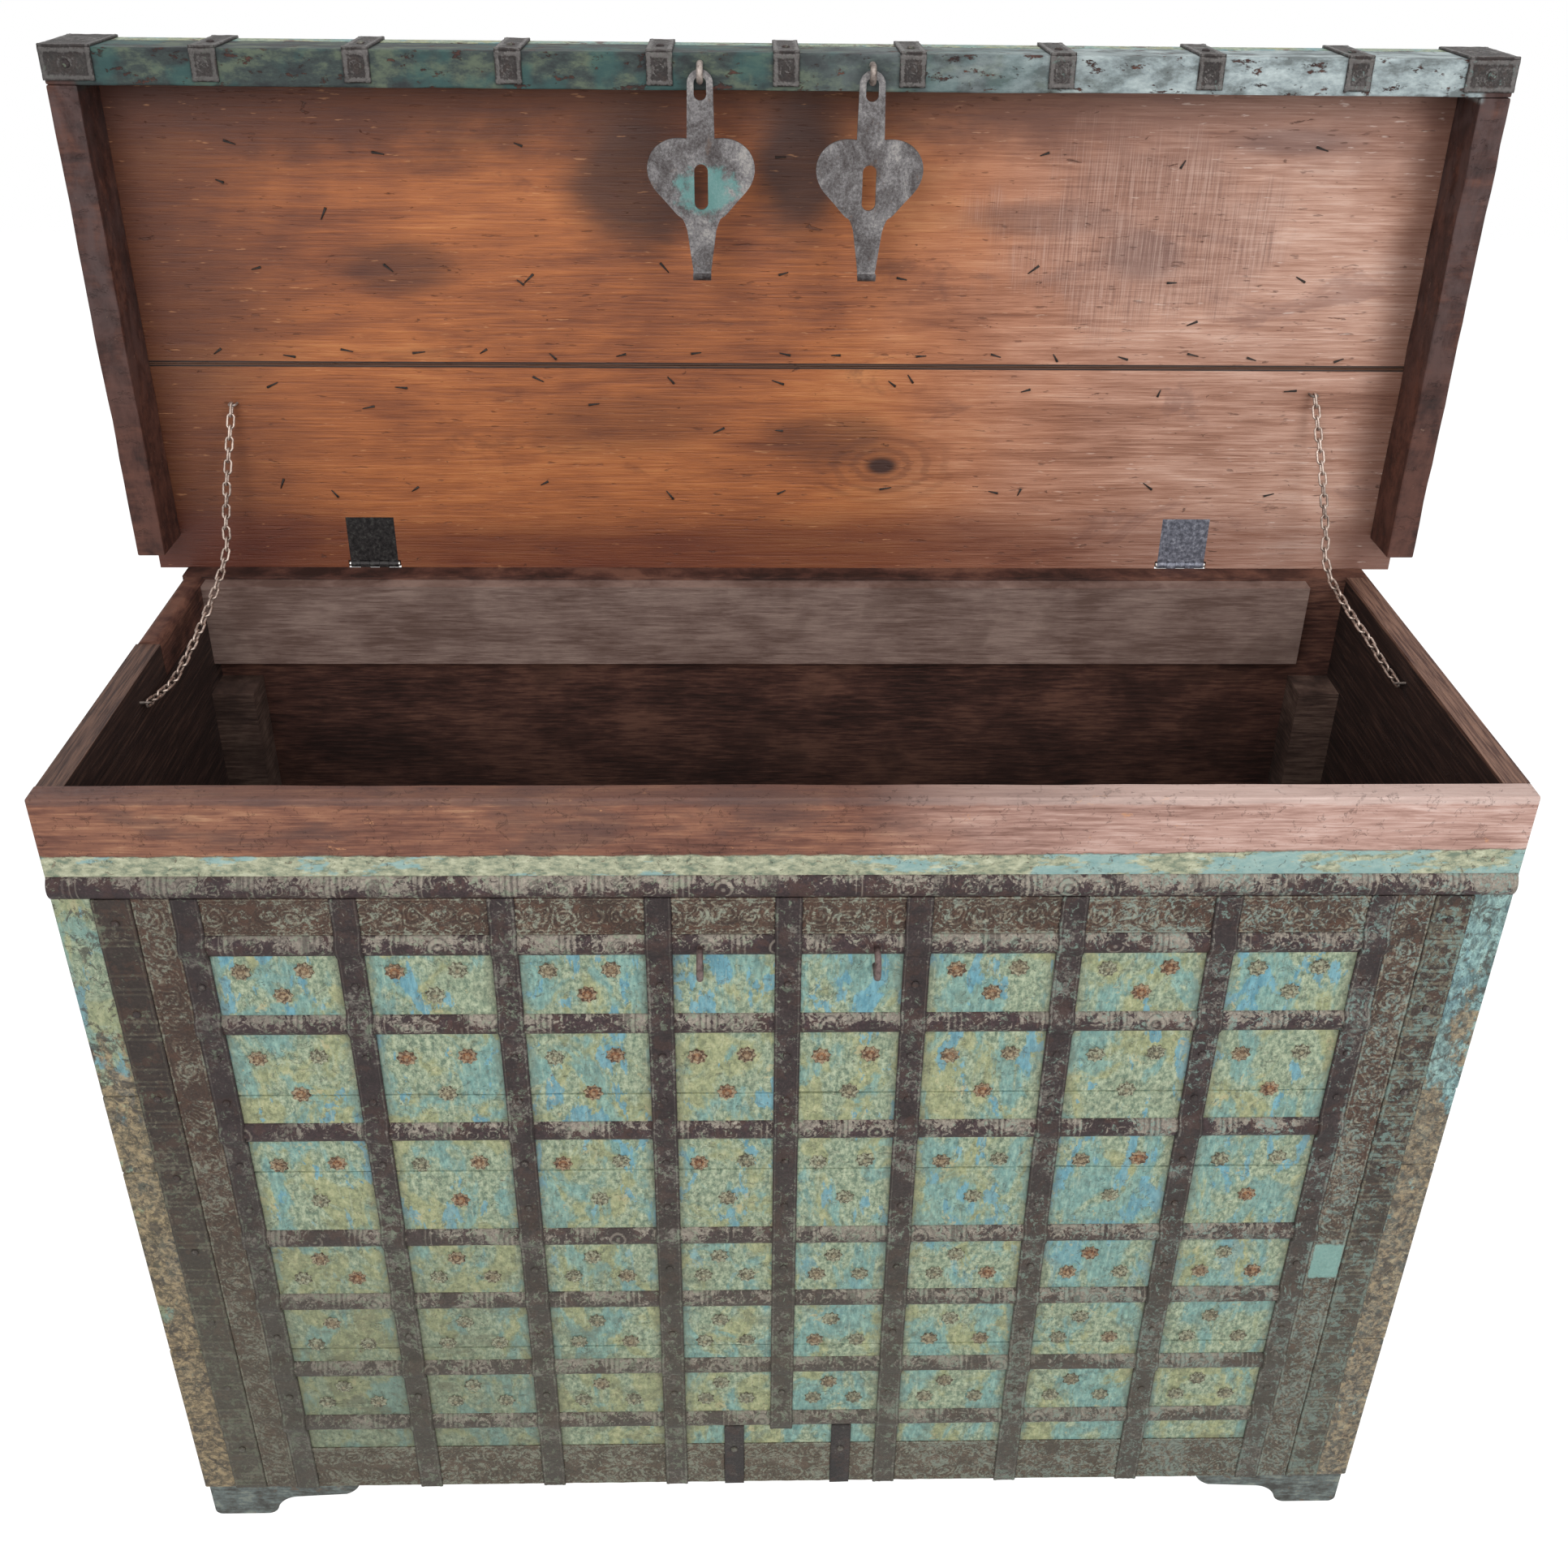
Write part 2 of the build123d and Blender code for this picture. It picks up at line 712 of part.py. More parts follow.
def leaf_shut(parity):
    """The lid's leaf about the pin, lying to the front, its lower face at the lid's inner face."""
    low = lid_inner_z - axis_z
    z = (low, low + leaf_thickness)
    back = -knuckle_radius - 2 * knuckle_gap
    shape = block((-leaf_width / 2, leaf_width / 2), (-leaf_height, back), z)
    for x in knuckles(parity):
        shape += block(x, (back, 0), z)
        centre = (x[0] + x[1]) / 2
        shape += Pos(centre, 0, 0) * Rot(Y=90) * Cylinder(knuckle_radius, x[1] - x[0])
    shape -= Rot(Y=90) * Cylinder(pin_radius + pin_running_fit, 2 * leaf_width)
    for x, away in screw_places():
        hole = Cylinder(screw_radius + screw_clearance, 2 * leaf_thickness)
        shape -= Pos(x, -away, low + leaf_thickness / 2) * hole
    return shape


def leaf_on_back(parity):
    """The body's leaf about the pin, hanging down the outside of the back."""
    y = (-axis_behind_back, -axis_behind_back + leaf_thickness)
    top = -knuckle_radius - 2 * knuckle_gap
    shape = block((-leaf_width / 2, leaf_width / 2), y, (-leaf_height, top))
    for x in knuckles(parity):
        shape += block(x, y, (top, 0))
        centre = (x[0] + x[1]) / 2
        shape += Pos(centre, 0, 0) * Rot(Y=90) * Cylinder(knuckle_radius, x[1] - x[0])
    shape -= Rot(Y=90) * Cylinder(pin_radius + pin_running_fit, 2 * leaf_width)
    for x, away in screw_places():
        hole = Rot(X=90) * Cylinder(screw_radius + screw_clearance, 2 * leaf_thickness)
        shape -= Pos(x, y[0] + leaf_thickness / 2, -away) * hole
    return shape


def slotted_screw():
    """A flush screw head as thick as a leaf, its slotted face up."""
    head = Cylinder(screw_radius, leaf_thickness)
    return head - Pos(0, 0, leaf_thickness / 2) * Box(2 * screw_radius, screw_slot, 0.8 * screw_slot)


def make_hinges():
    lid_leaf = leaf_shut(0)
    body_leaf = leaf_on_back(1)
    screw = slotted_screw()
    pin = Rot(Y=90) * Cylinder(pin_radius, leaf_width)
    for side in (-1, 1):
        head = Pos(side * (leaf_width + pin_head_height) / 2, 0, 0) * Rot(Y=90)
        pin += head * Cylinder(pin_head_radius, pin_head_height)
    lid_leaves, body_leaves, pins, lid_screws, body_screws = [], [], [], [], []
    low = lid_inner_z - axis_z
    for side in (-1, 1):
        at = Pos(side * hinge_place, axis_y, axis_z)
        lid_leaves.append(opened(at * lid_leaf))
        body_leaves.append(at * body_leaf)
        pins.append(at * pin)
        for x, away in screw_places():
            seat = Pos(x, -away, low + leaf_thickness / 2) * Rot(X=180)
            lid_screws.append(opened(at * seat * screw))
            seat = Pos(x, -axis_behind_back + leaf_thickness / 2, -away) * Rot(X=-90)
            body_screws.append(at * seat * screw)
    save("hinge_lid_leaves", lid_leaves)
    save("hinge_body_leaves", body_leaves)
    save("hinge_pins", pins)
    save("hinge_lid_screws", lid_screws)
    save("hinge_body_screws", body_screws)


# Stay chains


def link_steps(links):
    """How far the chain goes from one held wire to the next: short in an upright link, long in a flat."""
    upright = link_pitch - link_wire - link_play
    flat = link_pitch + link_wire + link_play
    steps = [flat if number % 2 else upright for number in range(links)]
    steps[0] = steps[-1] = upright - (anchor_wire - link_wire) / 2
    return steps


def chain_pivots(start, lid_x, lid_y, runs, last_run):
    """The middles of the wires that the links turn about, from the wall staple's to the lid staple's.

    Each run bends evenly from its first rise to its last one, and the last run is straight.
    The two links that meet at the open pivot have no sideways drift, because one slides along the other."""
    links = sum(count for count, first, last in runs) + last_run
    steps = link_steps(links)
    open_pivot = sum(count for count, first, last in runs[:runs_from_wall])
    square = (open_pivot - 1, open_pivot)
    slope = (lid_x - start.X) / sum(step for number, step in enumerate(steps) if number not in square)
    drifts = [0.0 if number in square else slope for number in range(links)]
    rises = [
        radians(first + (last - first) * (number + 0.5) / count)
        for count, first, last in runs
        for number in range(count)
    ]
    pivots = [start]
    for number, step in enumerate(steps):
        across = sqrt(1 - drifts[number] ** 2)
        if number == len(rises):
            last_rise = acos((lid_y - pivots[-1].Y) / (across * sum(steps[number:])))
        rise = rises[number] if number < len(rises) else last_rise
        pivots.append(pivots[-1] + Vector(drifts[number], across * cos(rise), across * sin(rise)) * step)
    return pivots


def chain_link():
    """A link along X in the XY plane, centred on the origin."""
    bend = (link_inner_width + link_wire) / 2
    straight = link_pitch + link_play - link_inner_width
    ring = Torus(bend, link_wire / 2)
    reach = 2 * bend
    right = ring & block((0, reach), (-reach, reach), (-reach, reach))
    left = ring & block((-reach, 0), (-reach, reach), (-reach, reach))
    bar = Rot(Y=90) * Cylinder(link_wire / 2, straight)
    shape = Pos(straight / 2, 0, 0) * right + Pos(-straight / 2, 0, 0) * left
    return shape + Pos(0, bend, 0) * bar + Pos(0, -bend, 0) * bar


def place_link(shape, start, end, flat, held):
    """Lay a link between two pivots, upright or flat. held says which end is on a staple, -1 or 1."""
    direction = (end - start).normalized()
    sideways = Vector(1, 0, 0)
    upright = (sideways - direction * sideways.dot(direction)).normalized()
    normal = direction.cross(upright).normalized() if flat else upright
    middle = (start + end) * 0.5 + direction * (held * (anchor_wire - link_wire) / 4)
    return Plane(origin=middle, x_dir=direction, z_dir=normal).location * shape


def make_chain(name, pivots, counts):
    """One stay chain as rigid runs of links; the first link and each second one after it stand upright."""
    shape = chain_link()
    bounds = [0]
    for count in counts:
        bounds.append(bounds[-1] + count)
    for number, (first, last) in enumerate(zip(bounds, bounds[1:])):
        solids = []
        for i in range(first, last):
            held = -1 if i == 0 else 1 if i == bounds[-1] - 1 else 0
            solids.append(place_link(shape, pivots[i], pivots[i + 1], i % 2 == 1, held))
        save(f"{name}_run_{number + 1}", solids)
    for number, bound in enumerate(bounds):
        point = pivots[bound]
        print(name, "pivot", number, round(point.X, 3), round(point.Y, 3), round(point.Z, 3))


def make_anchors(pivots, side):
    """The staple in the end wall and the one in the lid, each round the end link of a chain."""
    bend = (wall_anchor_span - anchor_wire) / 2
    leg = anchor_reach - bend - anchor_wire / 2
    point = pivots[0]
    tilt = radians(wall_anchor_tilt)
    centre_y = point.Y - bend * sin(tilt)
    centre_z = point.Z + bend * cos(tilt)
    shape = Rot(Z=-90 * side) * staple(anchor_wire, bend, leg)
    wall_staple = Pos(side * inner_x, centre_y, centre_z) * Rot(X=wall_anchor_tilt) * shape
    point = pivots[-1]
    shut = Pos(0, axis_y, axis_z) * Rot(X=open_angle) * Pos(0, -axis_y, -axis_z) * Pos(point) * Box(1, 1, 1)
    shut = shut.center()
    bend = (anchor_span - anchor_wire) / 2
    bow = Rot(X=90) * Rot(Y=90) * staple(anchor_wire, bend, lid_inner_z - shut.Z - bend)
    lid_staple = opened(Pos(point.X, shut.Y, lid_inner_z) * bow)
    return wall_staple, lid_staple


def make_chains():
    wall_staples, lid_staples = [], []
    wire_z = lid_inner_z - anchor_reach + anchor_wire / 2
    bow = Pos(0, axis_y - lid_anchor_height, wire_z) * Box(1, 1, 1)
    lid_y = opened(bow).center().Y
    chains = (
        ("chain_left", -1, left_wall_anchor, left_lid_inset, left_chain_runs, left_chain_last_run),
        ("chain_right", 1, right_wall_anchor, right_lid_inset, right_chain_runs, right_chain_last_run),
    )
    for name, side, (before_axis, below_rim), lid_inset, runs, last_run in chains:
        wall_point = Vector(side * (inner_x - anchor_reach / 2), axis_y - before_axis, rim_z - below_rim)
        pivots = chain_pivots(wall_point, side * (inner_x - lid_inset), lid_y, runs, last_run)
        make_chain(name, pivots, [count for count, first, last in runs] + [last_run])
        wall_staple, lid_staple = make_anchors(pivots, side)
        wall_staples.append(wall_staple)
        lid_staples.append(lid_staple)
    save("wall_chain_staples", wall_staples)
    save("lid_chain_staples", lid_staples)


make_carcase()
make_floor()
make_posts()
make_feet()
make_front_iron()
make_front_nails()
make_end_iron()
make_front_staples()
make_lid_boards()
make_lid_iron()
make_lid_nails()
make_lid_staples()
make_hasps()
make_hinges()
make_chains()
print("lid axis", axis_y, axis_z)
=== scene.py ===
import math
import random

import bmesh
import bpy
from mathutils import Matrix, Vector, noise


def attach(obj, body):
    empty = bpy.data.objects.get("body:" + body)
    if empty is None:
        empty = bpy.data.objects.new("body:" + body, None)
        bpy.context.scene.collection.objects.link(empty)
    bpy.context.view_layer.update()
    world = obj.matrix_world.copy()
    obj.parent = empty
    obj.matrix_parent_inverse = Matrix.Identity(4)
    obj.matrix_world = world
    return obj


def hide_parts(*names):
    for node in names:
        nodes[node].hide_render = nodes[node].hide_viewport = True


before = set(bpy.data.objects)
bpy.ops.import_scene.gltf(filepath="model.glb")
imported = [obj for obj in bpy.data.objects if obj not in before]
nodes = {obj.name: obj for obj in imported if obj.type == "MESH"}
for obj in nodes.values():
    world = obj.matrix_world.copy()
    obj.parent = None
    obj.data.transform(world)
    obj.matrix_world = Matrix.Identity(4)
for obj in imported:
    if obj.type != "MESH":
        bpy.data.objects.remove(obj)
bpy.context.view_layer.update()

# Iron-bound dowry chest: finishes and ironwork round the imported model.
# Lengths in the dictionaries are millimetres unless a note says metres, colours are 0 to 255.
mm = 0.001
print("frame loaded:", len(nodes), "parts")

# places and lamp sizes in metres, angles in degrees, the focal length in pixels of the frame
cameraSet = {"place": (-0.0454, -1.6743, 1.9681), "pitch": 31.04, "yaw": 1.589, "roll": 0.737,
             "focal": 2040.0, "frame": 1932, "sensor": 36.0, "nearest": 0.05}
stageSet = {"floor": 14.0, "floorTone": 0.86, "glow": 1.25, "whiteShare": 0.8, "ambient": 0.45,
            "aim": (0, 0, 0.9),
            "lamps": (("keyLamp", (-1.4, -3.4, 3.3), 2.2, 72), ("fillLamp", (2.4, -2.8, 2.5), 1.8, 46),
                      ("topLamp", (0.5, -0.6, 4.2), 1.8, 24))}


def makeCamera():
    pitch, yaw, roll = (math.radians(cameraSet[key]) for key in ("pitch", "yaw", "roll"))
    ahead = Vector((math.sin(yaw) * math.cos(pitch), math.cos(yaw) * math.cos(pitch), -math.sin(pitch)))
    level = Vector((math.cos(yaw), -math.sin(yaw), 0))
    above = level.cross(ahead)
    right = level * math.cos(roll) + above * math.sin(roll)
    up = above * math.cos(roll) - level * math.sin(roll)
    data = bpy.data.cameras.new("camera")
    data.sensor_width = cameraSet["sensor"]
    data.lens = cameraSet["focal"] / cameraSet["frame"] * cameraSet["sensor"]
    data.clip_start = cameraSet["nearest"]
    camera = bpy.data.objects.new("camera", data)
    turn = Matrix((right, up, -ahead)).transposed().to_4x4()
    camera.matrix_world = Matrix.Translation(cameraSet["place"]) @ turn
    bpy.context.scene.collection.objects.link(camera)
    bpy.context.scene.camera = camera


def makeLamps():
    for name, place, size, power in stageSet["lamps"]:
        data = bpy.data.lights.new(name, "AREA")
        data.shape = "SQUARE"
        data.size = size
        data.energy = power
        lamp = bpy.data.objects.new(name, data)
        lamp.location = place
        aim = Vector(stageSet["aim"]) - Vector(place)
        lamp.rotation_euler = aim.to_track_quat("-Z", "Y").to_euler()
        bpy.context.scene.collection.objects.link(lamp)


def mathsNode(operation, swapped=False):
    # an operator that adds one Math node
    def operator(first, *second):
        values = (first, *second)
        return first.look.add("ShaderNodeMath", {"operation": operation},
                              dict(enumerate(values[::-1] if swapped else values)))
    return operator


class Wire:
    # one output of a node; arithmetic on it adds Math nodes
    def __init__(self, look, socket):
        self.look, self.socket = look, socket

    __add__ = __radd__ = mathsNode("ADD")
    __mul__ = __rmul__ = mathsNode("MULTIPLY")
    __sub__, __rsub__ = mathsNode("SUBTRACT"), mathsNode("SUBTRACT", True)
    __truediv__, __pow__, __abs__ = mathsNode("DIVIDE"), mathsNode("POWER"), mathsNode("ABSOLUTE")
    __gt__, larger = mathsNode("GREATER_THAN"), mathsNode("MAXIMUM")
    floor, nearest, sine = mathsNode("FLOOR"), mathsNode("ROUND"), mathsNode("SINE")

    def under(self, share, tone):
        # this colour with another laid over a share of it
        return self.look.mix(share, self, tone)


def colour(red, green, blue, share=1.0):
    # screen values to the linear ones that sockets take
    curve = [((c / 255 + 0.055) / 1.055) ** 2.4 if c > 10 else c / 3294.6 for c in (red, green, blue)]
    return tuple(value * share for value in curve) + (1,)


def ink(tone):
    return colour(*tone) if isinstance(tone, tuple) else tone


class Look:
    # one procedural material
    def __init__(self, name):
        self.material = bpy.data.materials.new(name)
        self.material.use_nodes = True
        self.tree = self.material.node_tree
        self.tree.nodes.clear()
        self.where = self.add("ShaderNodeTexCoord", {}, {}, "Object")
        parts = self.tree.nodes.new("ShaderNodeSeparateXYZ")
        self.tree.links.new(self.where.socket, parts.inputs[0])
        self.x, self.y, self.z = (Wire(self, socket) for socket in parts.outputs)

    def add(self, kind, settings, values, output=0):
        node = self.tree.nodes.new(kind)
        for key, value in settings.items():
            if key == "stops":
                while len(node.color_ramp.elements) < len(value):
                    node.color_ramp.elements.new(1)
                for element, (place, tone) in zip(node.color_ramp.elements, value):
                    element.position, element.color = place, ink(tone)
            else:
                setattr(node, key, value)
        for key, value in values.items():
            if isinstance(value, Wire):
                self.tree.links.new(value.socket, node.inputs[key])
            else:
                node.inputs[key].default_value = value
        return Wire(self, node.outputs[output])

    def noise(self, size, stretch=(1, 1, 1), detail=4.0, rough=0.55, swirl=0.0, shift=0.0):
        place = self.add("ShaderNodeMapping", {}, {
            "Vector": self.where, "Location": (shift, shift * 1.7, shift * 0.6),
            "Scale": tuple(1 / (size * mm * share) for share in stretch)})
        return self.add("ShaderNodeTexNoise", {}, {"Vector": place, "Scale": 1.0, "Detail": detail,
                                                   "Roughness": rough, "Distortion": swirl})

    def step(self, value, low, high):
        return self.add("ShaderNodeMapRange", {"interpolation_type": "SMOOTHSTEP", "clamp": True},
                        {"Value": value, "From Min": low, "From Max": high})

    def patch(self, low, high, *grain, **more):
        # soft-edged patches: noise that is cut between low and high
        return self.step(self.noise(*grain, **more), low, high)

    def drop(self, value, low, high):
        # 1 below low, 0 above high
        return 1 - self.step(value, low, high)

    def mix(self, share, first, second):
        return self.add("ShaderNodeMix", {"data_type": "RGBA"}, {0: share, 6: ink(first), 7: ink(second)}, 2)

    def ramp(self, value, stops, gain=2.1):
        # noise keeps near its middle, so it is spread before it is coloured
        return self.add("ShaderNodeValToRGB", {"stops": stops}, {"Fac": (value - 0.5) * gain + 0.5})

    def layer(self, name):
        settings = {"attribute_type": "GEOMETRY", "attribute_name": name}
        return self.add("ShaderNodeAttribute", settings, {}, "Fac")

    def bump(self, height, reach, under=None):
        values = {"Height": height, "Distance": reach * mm, "Strength": 1.0}
        if under is not None:
            values["Normal"] = under
        return self.add("ShaderNodeBump", {}, values)

    def finish(self, base, rough, normal, metal=0.0, gloss=0.5):
        shader = self.add("ShaderNodeBsdfPrincipled", {}, {
            "Base Color": base, "Roughness": rough, "Metallic": metal, "Specular IOR Level": gloss,
            "Normal": normal})
        return self.close(shader)

    def close(self, shader):
        node = self.tree.nodes.new("ShaderNodeOutputMaterial")
        self.tree.links.new(shader.socket, node.inputs["Surface"])
        return self.material


def seenDirect(look):
    # 1 for rays from the camera, a mirror or glass
    path = look.tree.nodes.new("ShaderNodeLightPath")
    camera, glossy, glass = (Wire(look, path.outputs["Is " + name + " Ray"])
                             for name in ("Camera", "Glossy", "Transmission"))
    return camera.larger(glossy).larger(glass)


def makeStage():
    shape = bmesh.new()
    bmesh.ops.create_grid(shape, x_segments=1, y_segments=1, size=stageSet["floor"] / 2)
    mesh = bpy.data.meshes.new("floor")
    shape.to_mesh(mesh)
    shape.free()
    floor = bpy.data.objects.new("floor", mesh)
    bpy.context.scene.collection.objects.link(floor)
    look = Look("floorWhite")
    tone = stageSet["floorTone"]
    matt = look.add("ShaderNodeBsdfDiffuse", {}, {"Color": (tone, tone, tone, 1)})
    glow = look.add("ShaderNodeEmission", {}, {"Color": (1, 1, 1, 1), "Strength": stageSet["glow"]})
    share = seenDirect(look) * stageSet["whiteShare"]
    mesh.materials.append(look.close(look.add("ShaderNodeMixShader", {}, {0: share, 1: matt, 2: glow})))
    world = bpy.data.worlds.new("studio")
    world.use_nodes = True
    bpy.context.scene.world = world
    sky = Look.__new__(Look)
    sky.tree = world.node_tree
    sky.tree.nodes.clear()
    ambient = stageSet["ambient"]
    strength = ambient + seenDirect(sky) * (1 - ambient)
    light = sky.add("ShaderNodeBackground", {}, {"Color": (1, 1, 1, 1), "Strength": strength})
    out = sky.tree.nodes.new("ShaderNodeOutputWorld")
    sky.tree.links.new(light.socket, out.inputs["Surface"])


makeCamera()
makeStage()
makeLamps()
bpy.context.scene.view_settings.view_transform = "Standard"
print("camera, floor and lights made")

# sizes that the ironwork shares, and places down from the rim
body = {"halfWidth": 750.0, "frontY": -282.0, "backY": 282.0, "baseZ": 60.0, "rimZ": 1113.0, "wall": 28.0}
ironSet = {"bandHigh": 27.0, "bandProud": 7.0, "strapWide": 28.0, "strapThick": 2.2, "sheetThick": 1.0,
           "bandTops": (91.0, 164.0, 269.0, 422.0, 587.0, 693.0, 812.0, 912.0), "overTop": 46.0,
           "rows": ((191.0, 78.0), (296.0, 126.0), (449.0, 138.0), (614.0, 79.0), (720.0, 92.0),
                    (839.0, 73.0)),
           "straps": (-615.0, -455.0, -295.0, -135.0, 0.0, 135.0, 295.0, 455.0, 615.0),
           "innerBorder": 629.0, "outerBorder": 669.0, "borderEnd": 709.0, "bandEnd": 748.0,
           "overBand": 0.3, "centreLow": 168.0, "shortStraps": (-60.0, 77.0), "shortWide": 25.0,
           "shortTop": 173.5, "lowerFrieze": (62.0, 138.0)}
bands = [(body["rimZ"] - top - ironSet["bandHigh"], body["rimZ"] - top) for top in ironSet["bandTops"]]
strapTop = bands[1][1] + ironSet["overTop"]
lidSet = {"halfWidth": 786.0, "frontY": -323.0, "rearY": 292.0, "innerZ": 1113.5, "outerZ": 1138.5,
          "skirtZ": 1046.5, "axisY": 287.0, "axisZ": 1116.0, "open": 91.0, "bands": 5, "firstBand": 45.0,
          "lastBand": 40.0, "strapSetback": 4.0, "wrap": 33.0, "cornerPlate": 54.5, "endRail": 33.0,
          "railGap": 3.0, "railEnd": 38.0, "railNail": 33.5, "uneven": 1.2,
          "flowers": ((0.22, -22.0), (0.72, -22.0), (0.5, 24.0))}
lidStep = lidSet["rearY"] - lidSet["lastBand"] - lidSet["frontY"] - lidSet["firstBand"]
lidStep /= lidSet["bands"] - 1
lidBands = [lidSet["frontY"] + lidSet["firstBand"] + lidStep * number for number in range(lidSet["bands"])]

hinge = Matrix.Translation((0, lidSet["axisY"] * mm, lidSet["axisZ"] * mm))
lidOpen = hinge @ Matrix.Rotation(math.radians(-lidSet["open"]), 4, "X") @ hinge.inverted()


def seat(origin, along, across):
    # takes a piece made flat on XY, facing +Z, to its place; the origin is in millimetres
    u, v = Vector(along), Vector(across)
    turn = Matrix((u, v, u.cross(v))).transposed().to_4x4()
    return Matrix.Translation(Vector(origin) * mm) @ turn


def onFront(x, z, out=0.0):
    # lying along the front, held out from it
    return seat((x, body["frontY"] - out, z), (1, 0, 0), (0, 0, 1))


def upFront(x, z):
    # standing on the front
    return seat((x, body["frontY"], z), (0, 0, 1), (-1, 0, 0))


def onLid(x, y):
    # on the lid's top, at x and y of the shut lid
    return lidOpen @ seat((x, y, lidSet["outerZ"]), (1, 0, 0), (0, 1, 0))


def columns():
    half = ironSet["strapWide"] / 2
    return [(left + half, right - half) for left, right in zip(ironSet["straps"], ironSet["straps"][1:])]


def startPiece():
    shape = bmesh.new()
    return shape, shape.verts.layers.float.new("relief"), shape.verts.layers.float.new("tone")


def endPiece(name, shape, rides, look, stands=(), smooth=True):
    mesh = bpy.data.meshes.new(name)
    shape.to_mesh(mesh)
    shape.free()
    for face in mesh.polygons:
        face.use_smooth = smooth
    piece = bpy.data.objects.new(name, mesh)
    bpy.context.scene.collection.objects.link(piece)
    mesh.materials.append(look)
    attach(piece, rides)
    if stands:
        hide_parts(*stands)
    print(name, len(mesh.polygons), "faces")


def endIron(name, shape, look, stands, rides="carcase"):
    endPiece(name, shape, rides, look, stands)


def addSheet(shape, layers, length, width, pitch, surface, place):
    # a fine grid lifted by surface(u, v) -> (height, relief), with its edge turned down to the seat
    alongCells, acrossCells = max(1, round(length / pitch[0])), max(1, round(width / pitch[1]))
    made = bmesh.ops.create_grid(shape, x_segments=alongCells, y_segments=acrossCells, size=0.5)["verts"]
    for vert in made:
        u, v = vert.co.x * length, vert.co.y * width
        height, vert[layers[0]] = surface(u, v)
        vert[layers[1]] = v / width
        vert.co = Vector((u, v, height)) * mm
    rim = [edge for edge in {edge for vert in made for edge in vert.link_edges} if edge.is_boundary]
    turned = bmesh.ops.extrude_edge_only(shape, edges=rim)["geom"]
    foot = [part for part in turned if isinstance(part, bmesh.types.BMVert)]
    for vert in foot:
        vert.co.z = 0
    loop = [part for part in turned if isinstance(part, bmesh.types.BMEdge) and part.is_boundary]
    bmesh.ops.contextual_create(shape, geom=loop)
    bmesh.ops.transform(shape, matrix=place, verts=made + foot)


def ridge(distance, width):
    return math.exp(-(distance / width) ** 2)


def wave(u, v, size, seed=0.0):
    return noise.noise(Vector((u / size, v / size, seed)))


def bent(u, v, seed, size=17.0, reach=9.0):
    # shifts a point a little, so that a pattern is as uneven as hand work
    return u + reach * wave(u, v, size, seed + 11), v + reach * wave(u, v, size, seed + 12)


def curl(u, v, side, turns, reach):
    # a spiral ridge round the origin
    r = math.hypot(u, v)
    if r > reach:
        return 0.0
    arm = (r * turns / reach - math.atan2(v * side, u) / math.tau) % 1.0
    return ridge(arm - 0.5, 0.2) * min(1.0, (reach - r) / 2)


def bandArc(v, high, proud):
    # height of a half-round band at v from its middle
    half = high / 2
    radius = (half * half + proud * proud) / (2 * proud)
    if abs(v) >= half:
        return 0.0
    return math.sqrt(radius * radius - v * v) - radius + proud


# half-round bands, stamped with rings, pairs of curls and bosses
bandSet = {"pitch": (2.0, 2.0), "motif": 88.0, "rings": (5.0, 11.5, 18.0), "ringWide": 1.9, "ringHigh": 0.7,
           "curlHigh": 0.9, "curlAt": 12.0, "curlReach": 11.0, "bossRing": 8.5, "dent": 0.5, "least": 0.25}


def bandSurface(seed):
    def surface(u, v):
        cell, along = divmod(u + 1000 + seed * 31.7, bandSet["motif"])
        kind = int(cell * 5 + seed * 3) % 4
        rings = max(ridge(along - at, bandSet["ringWide"]) for at in bandSet["rings"])
        middle, apart, reach = along - 0.6 * bandSet["motif"], bandSet["curlAt"], bandSet["curlReach"]
        motif = 0.0
        if kind < 2:
            motif = max(curl(middle + apart, v, 1, 2.2, reach), curl(middle - apart, v, -1, 2.2, reach))
        elif kind == 2:
            away = math.hypot(middle, v)
            motif = ridge(away - bandSet["bossRing"], 1.8) + ridge(away, 3.4)
        keep = 1.0 if wave(u, v, 34, seed) > -0.12 else 0.35
        relief = max(rings * bandSet["ringHigh"], motif * bandSet["curlHigh"]) * keep
        height = bandArc(v, ironSet["bandHigh"], ironSet["bandProud"])
        edge = min(1.0, height / 2.5)
        dented = bandSet["dent"] * wave(u, v, 22, seed + 5)
        return max(bandSet["least"], height + (relief + dented) * edge), relief
    return surface


def makeFrontBands(look):
    shape, *layers = startPiece()
    for number, (low, high) in enumerate(bands):
        reach = ironSet["bandEnd"] if number == 0 else ironSet["innerBorder"]
        addSheet(shape, layers, 2 * reach, ironSet["bandHigh"], bandSet["pitch"], bandSurface(number),
                 onFront(0, (low + high) / 2))
    endIron("frontBands", shape, look, ["front_bands"])


# flat straps with a bead along each side and small curls between
strapSet = {"pitch": (3.2, 2.4), "bead": 11.8, "beadWide": 1.3, "beadHigh": 0.6, "motif": 34.0,
            "curlHigh": 0.45, "curlReach": 9.0, "dent": 0.55}


def strapHeight(z, spans):
    # how far a flat strap stands off its seat where it rides over the bands
    height = ironSet["strapThick"]
    for low, high in spans:
        wide = (high - low) + 2 * ironSet["strapThick"]
        proud = ironSet["bandProud"] + ironSet["overBand"]
        height = max(height, ironSet["strapThick"] + bandArc(z - (low + high) / 2, wide, proud))
    return height


